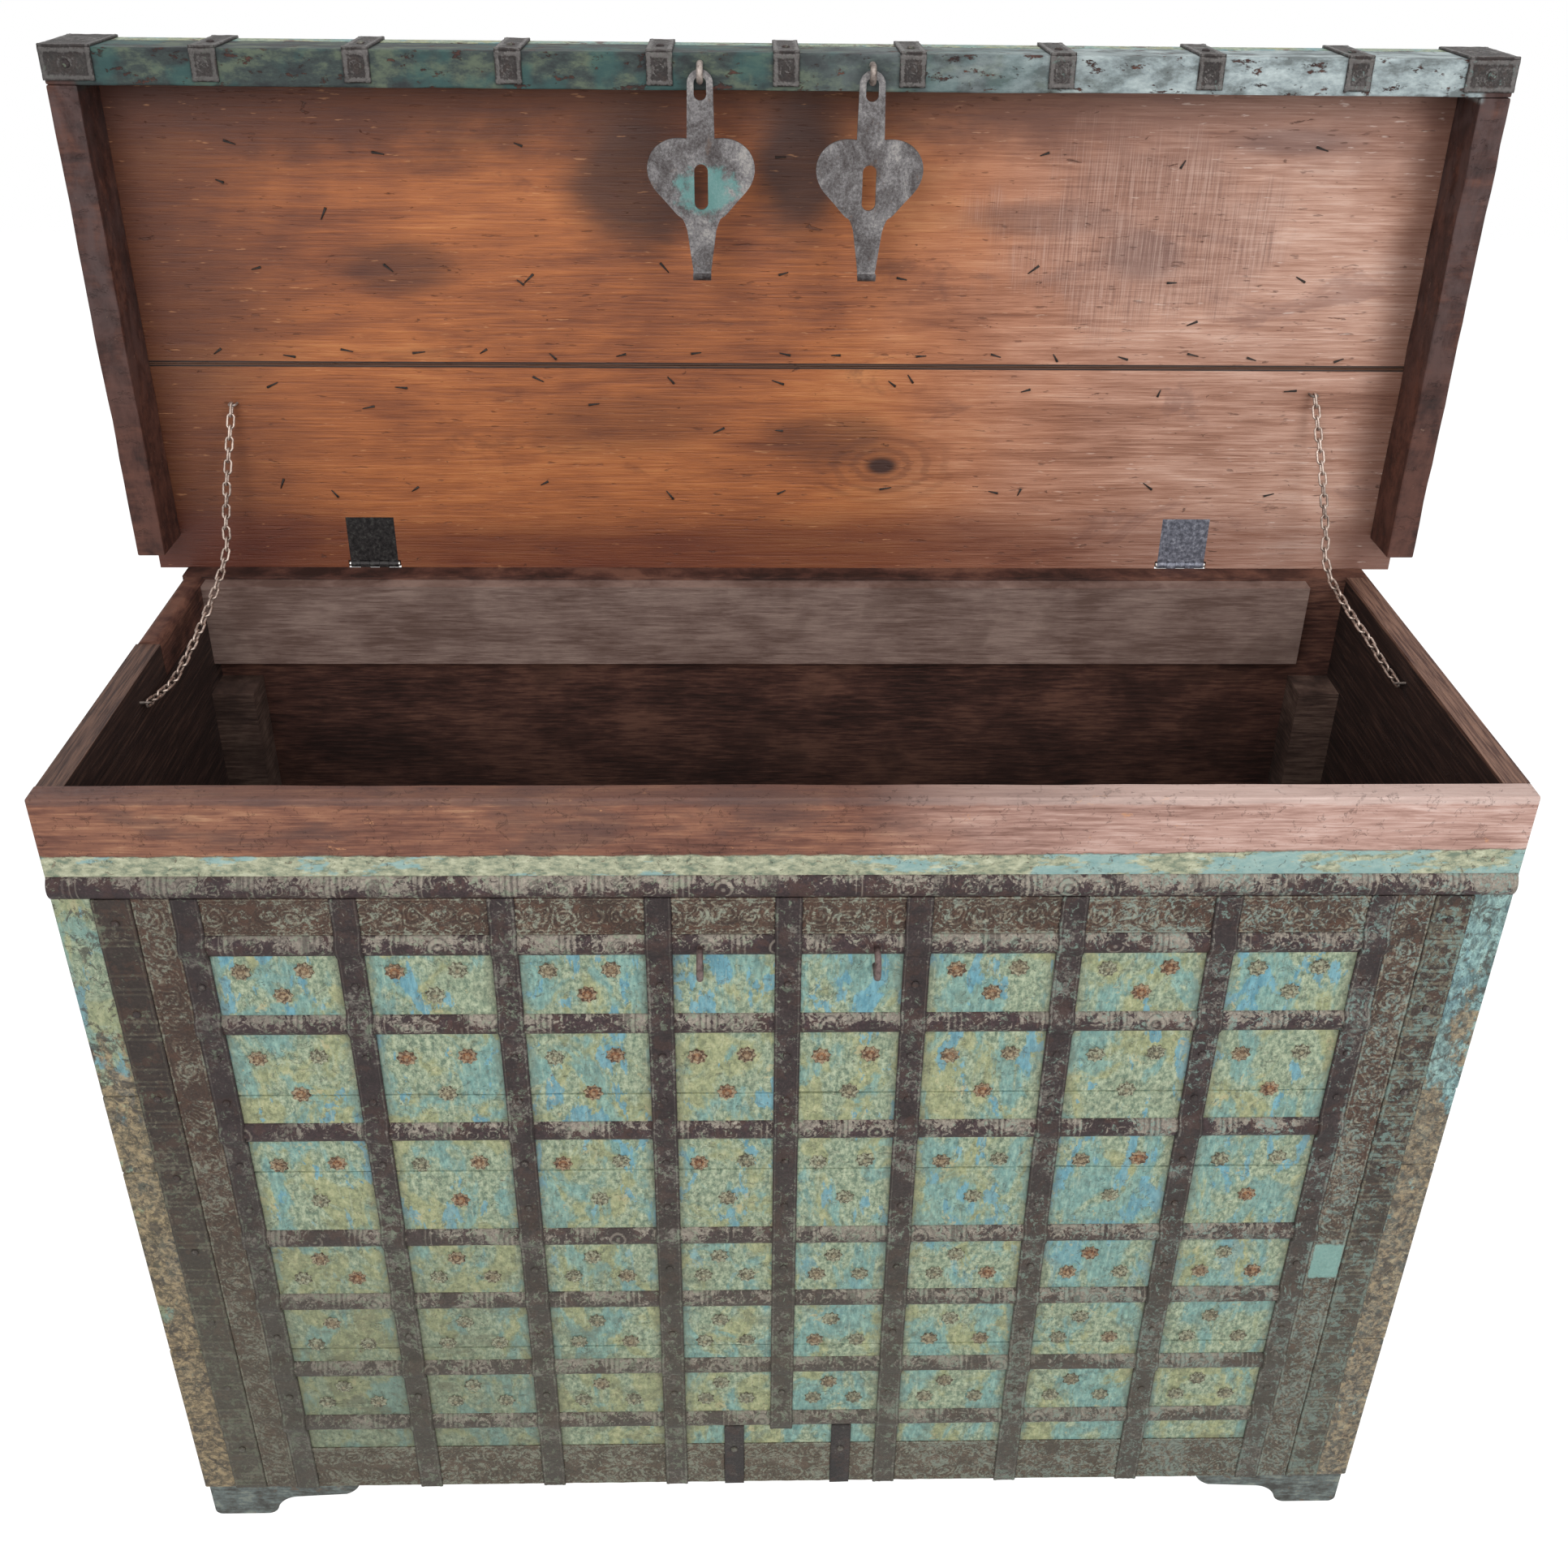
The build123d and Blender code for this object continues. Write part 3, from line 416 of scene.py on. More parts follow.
def strapSurface(middle, spans, seed, plain=False):
    def surface(u, v):
        height = strapHeight(middle + u, spans)
        cell, along = divmod(u + 900 + seed * 13, strapSet["motif"])
        relief = 0.0
        if not plain:
            bead = ridge(abs(v) - strapSet["bead"], strapSet["beadWide"])
            motif = curl(along - strapSet["motif"] / 2, v, 1 if cell % 2 else -1, 1.8, strapSet["curlReach"])
            keep = 1.0 if wave(u, v, 60, seed) > -0.05 else 0.2
            relief = max(bead * strapSet["beadHigh"], motif * strapSet["curlHigh"] * keep)
        dented = strapSet["dent"] * wave(u, v, 30, seed + 9)
        return height + relief + dented, relief
    return surface


def makeFrontStraps(look, shortLook):
    shape, *layers = startPiece()
    for number, x in enumerate(ironSet["straps"]):
        low = ironSet["centreLow"] if x == 0 else body["baseZ"]
        middle = (low + strapTop) / 2
        addSheet(shape, layers, strapTop - low, ironSet["strapWide"], strapSet["pitch"],
                 strapSurface(middle, bands[1:], number), upFront(x, middle))
    endIron("frontStraps", shape, look, ["front_straps"])
    shape, *layers = startPiece()
    low, high = body["baseZ"], ironSet["shortTop"]
    for number, x in enumerate(ironSet["shortStraps"]):
        addSheet(shape, layers, high - low, ironSet["shortWide"], strapSet["pitch"],
                 strapSurface((low + high) / 2, (), number + 40, True), upFront(x, (low + high) / 2))
    endIron("shortStraps", shape, shortLook, ["short_straps"])


# at each side a sheet with scrolls, and a creased strap outside it
borderSet = {"pitch": (1.9, 1.9), "wide": 40.0, "motif": 33.0, "reach": 17.0, "high": 1.1, "edge": 18.2,
             "crease": 62.0, "creases": (6, 13, 30), "creaseHigh": 0.9, "strapPitch": (2.4, 2.4),
             "strapEdge": 17.5, "foot": 2.0}


def borderSurface(seed):
    def surface(u, v):
        bentU, bentV = bent(u, v, seed)
        cell, along = divmod(bentU + 700 + seed * 11, borderSet["motif"])
        motif = curl(along - borderSet["motif"] / 2, bentV, 1 if cell % 2 else -1, 2.6, borderSet["reach"])
        edge = ridge(abs(v) - borderSet["edge"], 1.2)
        relief = max(motif, edge) * borderSet["high"] * (1.0 if wave(u, v, 45, seed) > -0.15 else 0.45)
        return ironSet["sheetThick"] + relief + 0.5 * wave(u, v, 16, seed + 3), relief
    return surface


def borderStrapSurface(seed):
    def surface(u, v):
        along = (u + 900 + 7 * wave(u, 0, 90, seed)) % borderSet["crease"]
        crease = max(ridge(along - at, 2.0) for at in borderSet["creases"])
        relief = max(crease * borderSet["creaseHigh"], 0.7 * ridge(abs(v) - borderSet["strapEdge"], 1.4))
        return ironSet["strapThick"] + relief + 0.7 * wave(u, v, 20, seed + 3), relief
    return surface


def makeBorders(sheetLook, strapLook):
    low, high = body["baseZ"] + borderSet["foot"], strapTop
    sheets, *sheetLayers = startPiece()
    straps, *strapLayers = startPiece()
    for number, side in enumerate((-1, 1)):
        for shape, layers, inner, outer, pitch, surface in (
                (sheets, sheetLayers, "innerBorder", "outerBorder", "pitch", borderSurface(number)),
                (straps, strapLayers, "outerBorder", "borderEnd", "strapPitch",
                 borderStrapSurface(number + 7))):
            x = side * (ironSet[inner] + ironSet[outer]) / 2
            addSheet(shape, layers, high - low, borderSet["wide"], borderSet[pitch], surface,
                     upFront(x, (low + high) / 2))
    endPiece("borderSheets", sheets, "carcase", sheetLook, ["border_sheets"])
    endIron("borderStraps", straps, strapLook, ["border_straps"])


friezeSet = {"pitch": (1.5, 1.5), "lowerPitch": (1.7, 1.7), "motif": 27.0, "reach": 14.5, "high": 1.3,
             "zigzag": 9.0, "zigzagHigh": 5.0, "line": 5.5, "edge": 1.6, "lowerRows": (-19.0, 19.0)}


def friezeSurface(rows, halfHigh, seed):
    # scrolls in one or two rows, with a zigzag line above and below
    def surface(u, v):
        bentU, bentV = bent(u, v, seed)
        cell, along = divmod(bentU + 1200 + seed * 9, friezeSet["motif"])
        across = along - friezeSet["motif"] / 2
        motif = max(curl(across, bentV - row, 1 if (cell + n) % 2 else -1, 2.3, friezeSet["reach"])
                    for n, row in enumerate(rows))
        zig = abs((u % friezeSet["zigzag"]) / friezeSet["zigzag"] - 0.5) * friezeSet["zigzagHigh"]
        line = ridge(abs(v) - (halfHigh - friezeSet["line"]) - zig + 1, 0.9)
        line += ridge(abs(v) - halfHigh + friezeSet["edge"], 0.8)
        keep = 1.0 if wave(u, v, 40, seed) > -0.2 else 0.5
        relief = min(1.0, max(motif, line)) * friezeSet["high"] * keep
        return ironSet["sheetThick"] + relief + 0.45 * wave(u, v, 14, seed + 3), relief
    return surface


def makeFrieze(name, node, look, spans, low, high, pitch, rows, firstSeed):
    shape, *layers = startPiece()
    for number, openings in enumerate(spans):
        for left, right in openings:
            addSheet(shape, layers, right - left, high - low, pitch,
                     friezeSurface(rows, (high - low) / 2, number + firstSeed),
                     onFront((left + right) / 2, (low + high) / 2))
    endPiece(name, shape, "carcase", look, [node])


def makeFriezes(look):
    openings = columns()
    makeFrieze("upperFrieze", "upper_frieze", look, [[span] for span in openings], bands[1][1], bands[0][0],
               friezeSet["pitch"], (0,), 0)
    # the lower one runs on under the centre strap and stops at the short straps
    merged = openings[:3] + [(openings[3][0], openings[4][1])] + openings[5:]
    gaps = [(x - ironSet["shortWide"] / 2, x + ironSet["shortWide"] / 2) for x in ironSet["shortStraps"]]
    spans = []
    for left, right in merged:
        inside = [gap for gap in gaps if left < gap[0] and gap[1] < right]
        spans.append(list(zip([left] + [gap[1] for gap in inside], [gap[0] for gap in inside] + [right])))
    makeFrieze("lowerFrieze", "lower_frieze", look, spans, *ironSet["lowerFrieze"], friezeSet["lowerPitch"],
               friezeSet["lowerRows"], 20)


# steps of a head: share of the radius, lift and relief
flowerSet = {"radius": 11.5, "petals": 8, "notch": 0.76, "rim": 1.7, "taper": 0.93, "tilt": 4.0, "out": 0.1,
             "steps": ((0.52, -0.5, 0.0), (0.34, 0.5, 0.35), (0.2, 1.6, 0.8), (0.08, 0.7, 1.0)),
             "upper": ((0.22, 0.26), (0.72, 0.24), (0.52, 0.66)),
             "lower": ((0.42, 0.26), (0.24, 0.66), (0.72, 0.66))}
nailSet = {"radius": 4.6, "sides": 12, "rim": 1.04, "taper": 0.94,
           "steps": ((0.72, 0.936, 0.3), (0.35, 0.52, 0.3)), "start": 30.0, "pitch": 118.0,
           "tallRow": 100.0, "shortAt": 0.6}


def joined(vert):
    # every point linked to this one
    found, ahead = {vert}, [vert]
    while ahead:
        for edge in ahead.pop().link_edges:
            for end in edge.verts:
                if end not in found:
                    found.add(end)
                    ahead.append(end)
    return list(found)


def addHead(shape, layers, place, tone, sizes, sides, notch=1.0):
    # a round head raised in steps; a notch draws every second corner in
    r, rim = sizes["radius"] * mm, sizes["rim"] * mm
    made = bmesh.ops.create_cone(shape, cap_ends=True, segments=sides, radius1=r, radius2=r * sizes["taper"],
                                 depth=rim)["verts"]
    bmesh.ops.translate(shape, verts=made, vec=(0, 0, rim / 2))
    for vert in made:
        if round(math.atan2(vert.co.y, vert.co.x) * sides / math.tau) % 2:
            vert.co.x *= notch
            vert.co.y *= notch
    faces = {face for vert in made for face in vert.link_faces}
    top = max(faces, key=lambda face: face.calc_center_median().z)
    for share, lift, relief in sizes["steps"]:
        bmesh.ops.inset_region(shape, faces=[top], thickness=0.0001, use_even_offset=True)
        for vert in top.verts:
            flat = Vector((vert.co.x, vert.co.y)).normalized() * r * share
            vert.co = Vector((flat.x, flat.y, vert.co.z + lift * mm))
            vert[layers[0]] = relief
    verts = joined(top.verts[0])
    for vert in verts:
        vert[layers[1]] = tone
    bmesh.ops.transform(shape, matrix=place, verts=verts)


def addFlower(shape, layers, place, tone, turn):
    addHead(shape, layers, place @ Matrix.Rotation(turn, 4, "Z"), tone, flowerSet, 2 * flowerSet["petals"],
            flowerSet["notch"])


def addNail(shape, layers, place, tone):
    addHead(shape, layers, place, tone, nailSet, nailSet["sides"])


def makeFlowers(look):
    rng = random.Random(11)
    shape, *layers = startPiece()
    for row, (top, height) in enumerate(ironSet["rows"]):
        for left, right in columns():
            if row == 0 and abs(left + right) < 270:
                continue  # the staples take the two middle panels of the top row
            for across, down in flowerSet["upper"] if row < 3 else flowerSet["lower"]:
                x, z = left + across * (right - left), body["rimZ"] - top - down * height
                tilt = Matrix.Rotation(math.radians(rng.uniform(-1, 1) * flowerSet["tilt"]), 4, "X")
                tone = min(1.0, max(0.0, rng.random() * 0.8 + row * 0.08 - 0.05))
                place = onFront(x, z, flowerSet["out"]) @ tilt
                addFlower(shape, layers, place, tone, rng.uniform(0, math.tau))
    endPiece("rosettes", shape, "carcase", look, ["rosettes"], smooth=False)


def makeNails(look):
    rng = random.Random(5)
    shape, *layers = startPiece()
    places = []
    for top, height in ironSet["rows"]:
        shares = (0.25, 0.75) if height > nailSet["tallRow"] else (0.5,)
        places += [(x, body["rimZ"] - top - share * height) for x in ironSet["straps"] for share in shares]
    high = bands[0][0] - nailSet["start"]
    edge = (ironSet["outerBorder"] + ironSet["borderEnd"]) / 2
    for number in range(int((high - body["baseZ"]) / nailSet["pitch"]) + 1):
        places += [(side * edge, high - number * nailSet["pitch"]) for side in (-1, 1)]
    shortZ = body["baseZ"] + nailSet["shortAt"] * (bands[-1][0] - body["baseZ"])
    places += [(x, shortZ) for x in ironSet["shortStraps"]]
    for x, z in places:
        addNail(shape, layers, onFront(x, z, ironSet["strapThick"]), rng.random())
    endIron("strapNails", shape, look, ["strap_nails"])


endSet = {"bands": (0, 3, 5, 7), "short": 80.0, "bandPitch": (2.6, 2.4), "strapPitch": (3.6, 2.8),
          "overTop": 6.0, "straps": (-180, 0, 180)}


def makeEndIron(look):
    rows = [bands[number] for number in endSet["bands"]]
    length = body["backY"] - body["frontY"] - endSet["short"]
    low, high = body["baseZ"], bands[0][1] + endSet["overTop"]
    middle = (low + high) / 2
    shape, *layers = startPiece()
    for side in (-1, 1):
        for number, (bandLow, bandHigh) in enumerate(rows):
            place = seat((side * body["halfWidth"], 0, (bandLow + bandHigh) / 2), (0, side, 0), (0, 0, 1))
            addSheet(shape, layers, length, ironSet["bandHigh"], endSet["bandPitch"],
                     bandSurface(number + 20), place)
    endIron("endBands", shape, look, ["end_bands"])
    shape, *layers = startPiece()
    for side in (-1, 1):
        for number, y in enumerate(endSet["straps"]):
            place = seat((side * body["halfWidth"], y, middle), (0, 0, 1), (0, -side, 0))
            addSheet(shape, layers, high - low, ironSet["strapWide"], endSet["strapPitch"],
                     strapSurface(middle, rows, number + 50), place)
    endIron("endStraps", shape, look, ["end_straps"])


def makeLidIron(look, flowerLook):
    shape, *layers = startPiece()
    for number, y in enumerate(lidBands):
        addSheet(shape, layers, 2 * lidSet["halfWidth"] - 4, ironSet["bandHigh"], plateSet["bandPitch"],
                 bandSurface(number + 30), onLid(0, y))
    endIron("lidBands", shape, look, ["lid_bands"], "lid")
    rng = random.Random(23)
    thick = ironSet["strapThick"]
    nails, *nailLayers = startPiece()
    flowers, *flowerLayers = startPiece()
    for low, high in zip(lidBands, lidBands[1:]):
        middle = (low + high) / 2
        for x in ironSet["straps"]:
            place = onLid(x, middle) @ Matrix.Translation((0, 0, thick * mm))
            addNail(nails, nailLayers, place, rng.random())
        for left, right in columns():
            for across, shift in lidSet["flowers"]:
                addFlower(flowers, flowerLayers, onLid(left + across * (right - left), middle + shift),
                          rng.random(), rng.uniform(0, math.tau))
    railZ = lidSet["innerZ"] - lidSet["railNail"]
    for x in ironSet["straps"]:
        place = seat((x, lidSet["frontY"] - thick, railZ), (1, 0, 0), (0, 0, 1))
        addNail(nails, nailLayers, lidOpen @ place, rng.random())
    for side in (-1, 1):
        x = side * (lidSet["halfWidth"] - lidSet["cornerPlate"] / 2)
        y = lidSet["frontY"] + lidSet["wrap"] / 2
        place = seat((x, y, lidSet["skirtZ"] - thick), (1, 0, 0), (0, -1, 0))
        addNail(nails, nailLayers, lidOpen @ place, rng.random())
    endIron("lidNails", nails, look, ["lid_nails"], "lid")
    endPiece("lidRosettes", flowers, "lid", flowerLook, ["lid_rosettes"], smooth=False)


plateSet = {"rim": 2.2, "rimIn": 3.0, "rimHigh": 0.9, "curlHigh": 0.6, "pitch": (2.0, 2.0),
            "bandPitch": (2.8, 2.4), "strapPitch": (3.4, 2.8), "facePitch": (2.8, 2.4),
            "cornerPitch": (2.6, 2.6)}
tipSet = {"long": 13.0, "thick": 1.5, "point": 0.6, "lift": 0.9, "count": 12, "jointRow": 17.0,
          "jointPitch": 84.0, "jointStart": -680.0, "jointCount": 17, "field": ((-690, 690), (-225, 200))}


def plateSurface(length, width, seed):
    # a plate with a raised border and a worn curl in its middle
    def surface(u, v):
        inU, inV = length / 2 - plateSet["rimIn"] - abs(u), width / 2 - plateSet["rimIn"] - abs(v)
        border = max(ridge(inU, plateSet["rim"]), ridge(inV, plateSet["rim"]))
        motif = curl(u, v, 1, 1.7, min(length, width) / 2 - 5)
        relief = max(border * plateSet["rimHigh"], motif * plateSet["curlHigh"])
        return ironSet["strapThick"] + relief + 0.5 * wave(u, v, 11, seed), relief
    return surface


def addWrap(shape, layers, x, wide, faceHigh, pitch, faceSeed, footSeed):
    # a plate down the face of the lid's front rail, and one under the rail
    faceLow, reach = lidSet["skirtZ"] - ironSet["strapThick"], lidSet["wrap"]
    long = faceHigh - faceLow
    place = seat((x, lidSet["frontY"], (faceLow + faceHigh) / 2), (0, 0, 1), (-1, 0, 0))
    addSheet(shape, layers, long, wide, pitch, plateSurface(long, wide, faceSeed), lidOpen @ place)
    place = seat((x, lidSet["frontY"] + reach / 2, lidSet["skirtZ"]), (0, 1, 0), (1, 0, 0))
    addSheet(shape, layers, reach, wide, plateSet["pitch"], plateSurface(reach, wide, footSeed),
             lidOpen @ place)


def makeLidStraps(look):
    shape, *layers = startPiece()
    low, high = lidSet["frontY"], lidSet["rearY"] - lidSet["strapSetback"]
    middle, wide = (low + high) / 2, ironSet["strapWide"]
    spans = [(y - ironSet["bandHigh"] / 2, y + ironSet["bandHigh"] / 2) for y in lidBands]
    for number, x in enumerate(ironSet["straps"]):
        place = lidOpen @ seat((x, middle, lidSet["outerZ"]), (0, 1, 0), (-1, 0, 0))
        addSheet(shape, layers, high - low, wide, plateSet["strapPitch"],
                 strapSurface(middle, spans, number + 60), place)
        addWrap(shape, layers, x, wide, lidSet["outerZ"] + ironSet["strapThick"], plateSet["facePitch"],
                number, number + 5)
    endIron("lidStraps", shape, look, ["lid_straps"], "lid")
    shape, *layers = startPiece()
    wide = lidSet["cornerPlate"]
    for number, side in enumerate((-1, 1)):
        addWrap(shape, layers, side * (lidSet["halfWidth"] - wide / 2), wide, lidSet["outerZ"],
                plateSet["cornerPitch"], number, number + 3)
    endIron("lidCornerPlates", shape, look, ["lid_corner_plates"], "lid")


def makeNailTips(look):
    # ends of the strap nails, bent over on the inside of the lid
    rng = random.Random(31)
    shape, *layers = startPiece()
    rows = [(a + b) / 2 for a, b in zip(lidBands, lidBands[1:])]
    places = [(x + rng.uniform(-5, 5), y + rng.uniform(-9, 9)) for y in rows for x in ironSet["straps"]]
    across, down = tipSet["field"]
    places += [(rng.uniform(*across), rng.uniform(*down)) for number in range(tipSet["count"])]
    places += [(tipSet["jointStart"] + tipSet["jointPitch"] * number + rng.uniform(-18, 18),
                tipSet["jointRow"] + rng.uniform(-3, 4)) for number in range(tipSet["jointCount"])]
    for x, y in places:
        long = tipSet["long"] * rng.uniform(0.7, 1.2) * mm
        made = bmesh.ops.create_cone(shape, cap_ends=True, segments=6, radius1=tipSet["thick"] * mm,
                                     radius2=tipSet["point"] * mm, depth=long)["verts"]
        turn = Matrix.Rotation(rng.gauss(0, 0.6) + rng.choice((0, math.pi)), 4, "Z")
        place = lidOpen @ seat((x, y, lidSet["innerZ"]), (1, 0, 0), (0, -1, 0))
        flat = Matrix.Translation((0, 0, tipSet["lift"] * mm)) @ Matrix.Rotation(math.pi / 2, 4, "Y")
        bmesh.ops.transform(shape, matrix=place @ turn @ flat, verts=made)
    endIron("nailTips", shape, look, (), "lid")


woodSet = {"edge": 2.2, "bevelSteps": 2, "cut": 24.0, "uneven": 0.9, "joints": (731.0, 617.0, 323.0),
           "seam": 0.8}


def addBoard(shape, low, high, uneven, seed):
    # a board with softened, slightly uneven edges; low and high are its corners
    low, high = Vector(low), Vector(high)
    made = bmesh.ops.create_cube(shape, size=1)["verts"]
    for vert in made:
        vert.co = Vector([(a + b) / 2 + c * (b - a) for a, b, c in zip(low, high, vert.co)])
    edges = list({e for vert in made for e in vert.link_edges})
    done = bmesh.ops.bevel(shape, geom=edges, offset=woodSet["edge"], offset_type="OFFSET", affect="EDGES",
                           segments=woodSet["bevelSteps"], profile=0.5, material=-1)
    verts = set(joined(done["verts"][0]))
    axis = max(range(3), key=lambda n: high[n] - low[n])
    count = int((high[axis] - low[axis]) / woodSet["cut"])
    for number in range(1, count):
        point, normal = Vector((0, 0, 0)), Vector((0, 0, 0))
        point[axis] = low[axis] + (high[axis] - low[axis]) * number / count
        normal[axis] = 1
        geom = list(verts) + list({e for v in verts for e in v.link_edges})
        geom += list({f for v in verts for f in v.link_faces})
        cut = bmesh.ops.bisect_plane(shape, geom=geom, dist=0.0001, plane_co=point,
                                     plane_no=normal)["geom_cut"]
        verts.update(part for part in cut if isinstance(part, bmesh.types.BMVert))
    for vert in verts:
        spot = Vector((vert.co.x / 90, vert.co.y / 40, vert.co.z / 90 + seed))
        vert.co += Vector([noise.noise(spot + Vector((0, 0, 40 * n))) for n in range(3)]) * uneven
        vert.co = Vector([min(max(value, a), b) for value, a, b in zip(vert.co, low, high)]) * mm


def makeBoards(name, boards, rides, look, node, place=None, uneven=woodSet["uneven"]):
    shape = bmesh.new()
    for number, (low, high) in enumerate(boards):
        part = bmesh.new()
        addBoard(part, low, high, uneven, number * 3.1)
        mesh = bpy.data.meshes.new("board")
        part.to_mesh(mesh)
        part.free()
        shape.from_mesh(mesh)
        bpy.data.meshes.remove(mesh)
    if place is not None:
        bmesh.ops.transform(shape, matrix=place, verts=shape.verts[:])
    endPiece(name, shape, rides, look, [node], smooth=False)


def makeWoodwork(frontLook, railLook):
    wide, front, lid = body["halfWidth"], body["frontY"], lidSet
    edges = [body["rimZ"], *woodSet["joints"], body["baseZ"]]
    boards = [((-wide, front, low), (wide, front + body["wall"], high - (woodSet["seam"] if n else 0)))
              for n, (high, low) in enumerate(zip(edges, edges[1:]))]
    makeBoards("frontPlanks", boards, "carcase", frontLook, "front_planks")
    outer, inner, back = lid["halfWidth"], lid["halfWidth"] - lid["endRail"], front - lid["railGap"]
    rear = lid["axisY"] - lid["railEnd"]
    for name, node, startX, endX, startY, endY in (
            ("lidFrontRail", "lid_front_rail", -outer, outer, lid["frontY"], back),
            ("lidLeftRail", "lid_left_rail", -outer, -inner, back, rear),
            ("lidRightRail", "lid_right_rail", inner, outer, back, rear)):
        rail = [((startX, startY, lid["skirtZ"]), (endX, endY, lid["innerZ"]))]
        makeBoards(name, rail, "lid", railLook, node, lidOpen, lid["uneven"])


# ramps from dark to light, and the colours laid over them; places are metres
teakSet = {"left": ((0.16, (92, 46, 28)), (0.36, (140, 80, 48)), (0.56, (178, 106, 60)),
                    (0.78, (206, 136, 82))),
           # right: greyer wood, made lighter and pinker by painted glare from a lamp on the right
           "right": ((0.18, (118, 78, 62)), (0.40, (168, 124, 104)), (0.6, (204, 164, 146)),
                     (0.8, (232, 202, 188))),
           "weather": ((0.3, (58, 42, 34)), (0.7, (104, 82, 68))),
           "top": ((70, 34, 24), (128, 92, 82)), "smearAndShadow": ((58, 34, 28), (104, 82, 80)),
           "stain": ((92, 50, 34), (134, 98, 88)), "glint": ((220, 160, 112), (242, 224, 214)),
           "leftEdge": (74, 40, 30), "rightEdge": (96, 58, 46), "foot": (84, 36, 26),
           "sawn": (150, 116, 104), "sawLight": (214, 184, 170), "sawDark": (98, 66, 58),
           "fleck": (74, 40, 28), "scar": (78, 50, 42), "rings": (92, 52, 38), "heart": (60, 34, 26),
           "joint": (30, 18, 15), "jointLight": (92, 60, 42), "jointZ": 1.3722, "knotAt": (0.125, 1.248),
           # place across, height, half width, half height and strength of each dark smear or painted hasp
           # shadow
           "smearsAndHaspShadows": ((-0.17, 1.585, 0.10, 0.11, 0.85), (0.02, 1.60, 0.07, 0.10, 0.9),
                      (-0.44, 1.485, 0.10, 0.045, 0.6), (0.07, 1.28, 0.12, 0.05, 0.5),
                      (-0.20, 1.30, 0.16, 0.05, 0.35), (0.42, 1.505, 0.06, 0.04, 0.6),
                      (0.30, 1.545, 0.14, 0.025, 0.45), (0.58, 1.63, 0.10, 0.02, 0.5)),
           "sawPlace": (0.40, 1.53, 0.20, 0.13)}


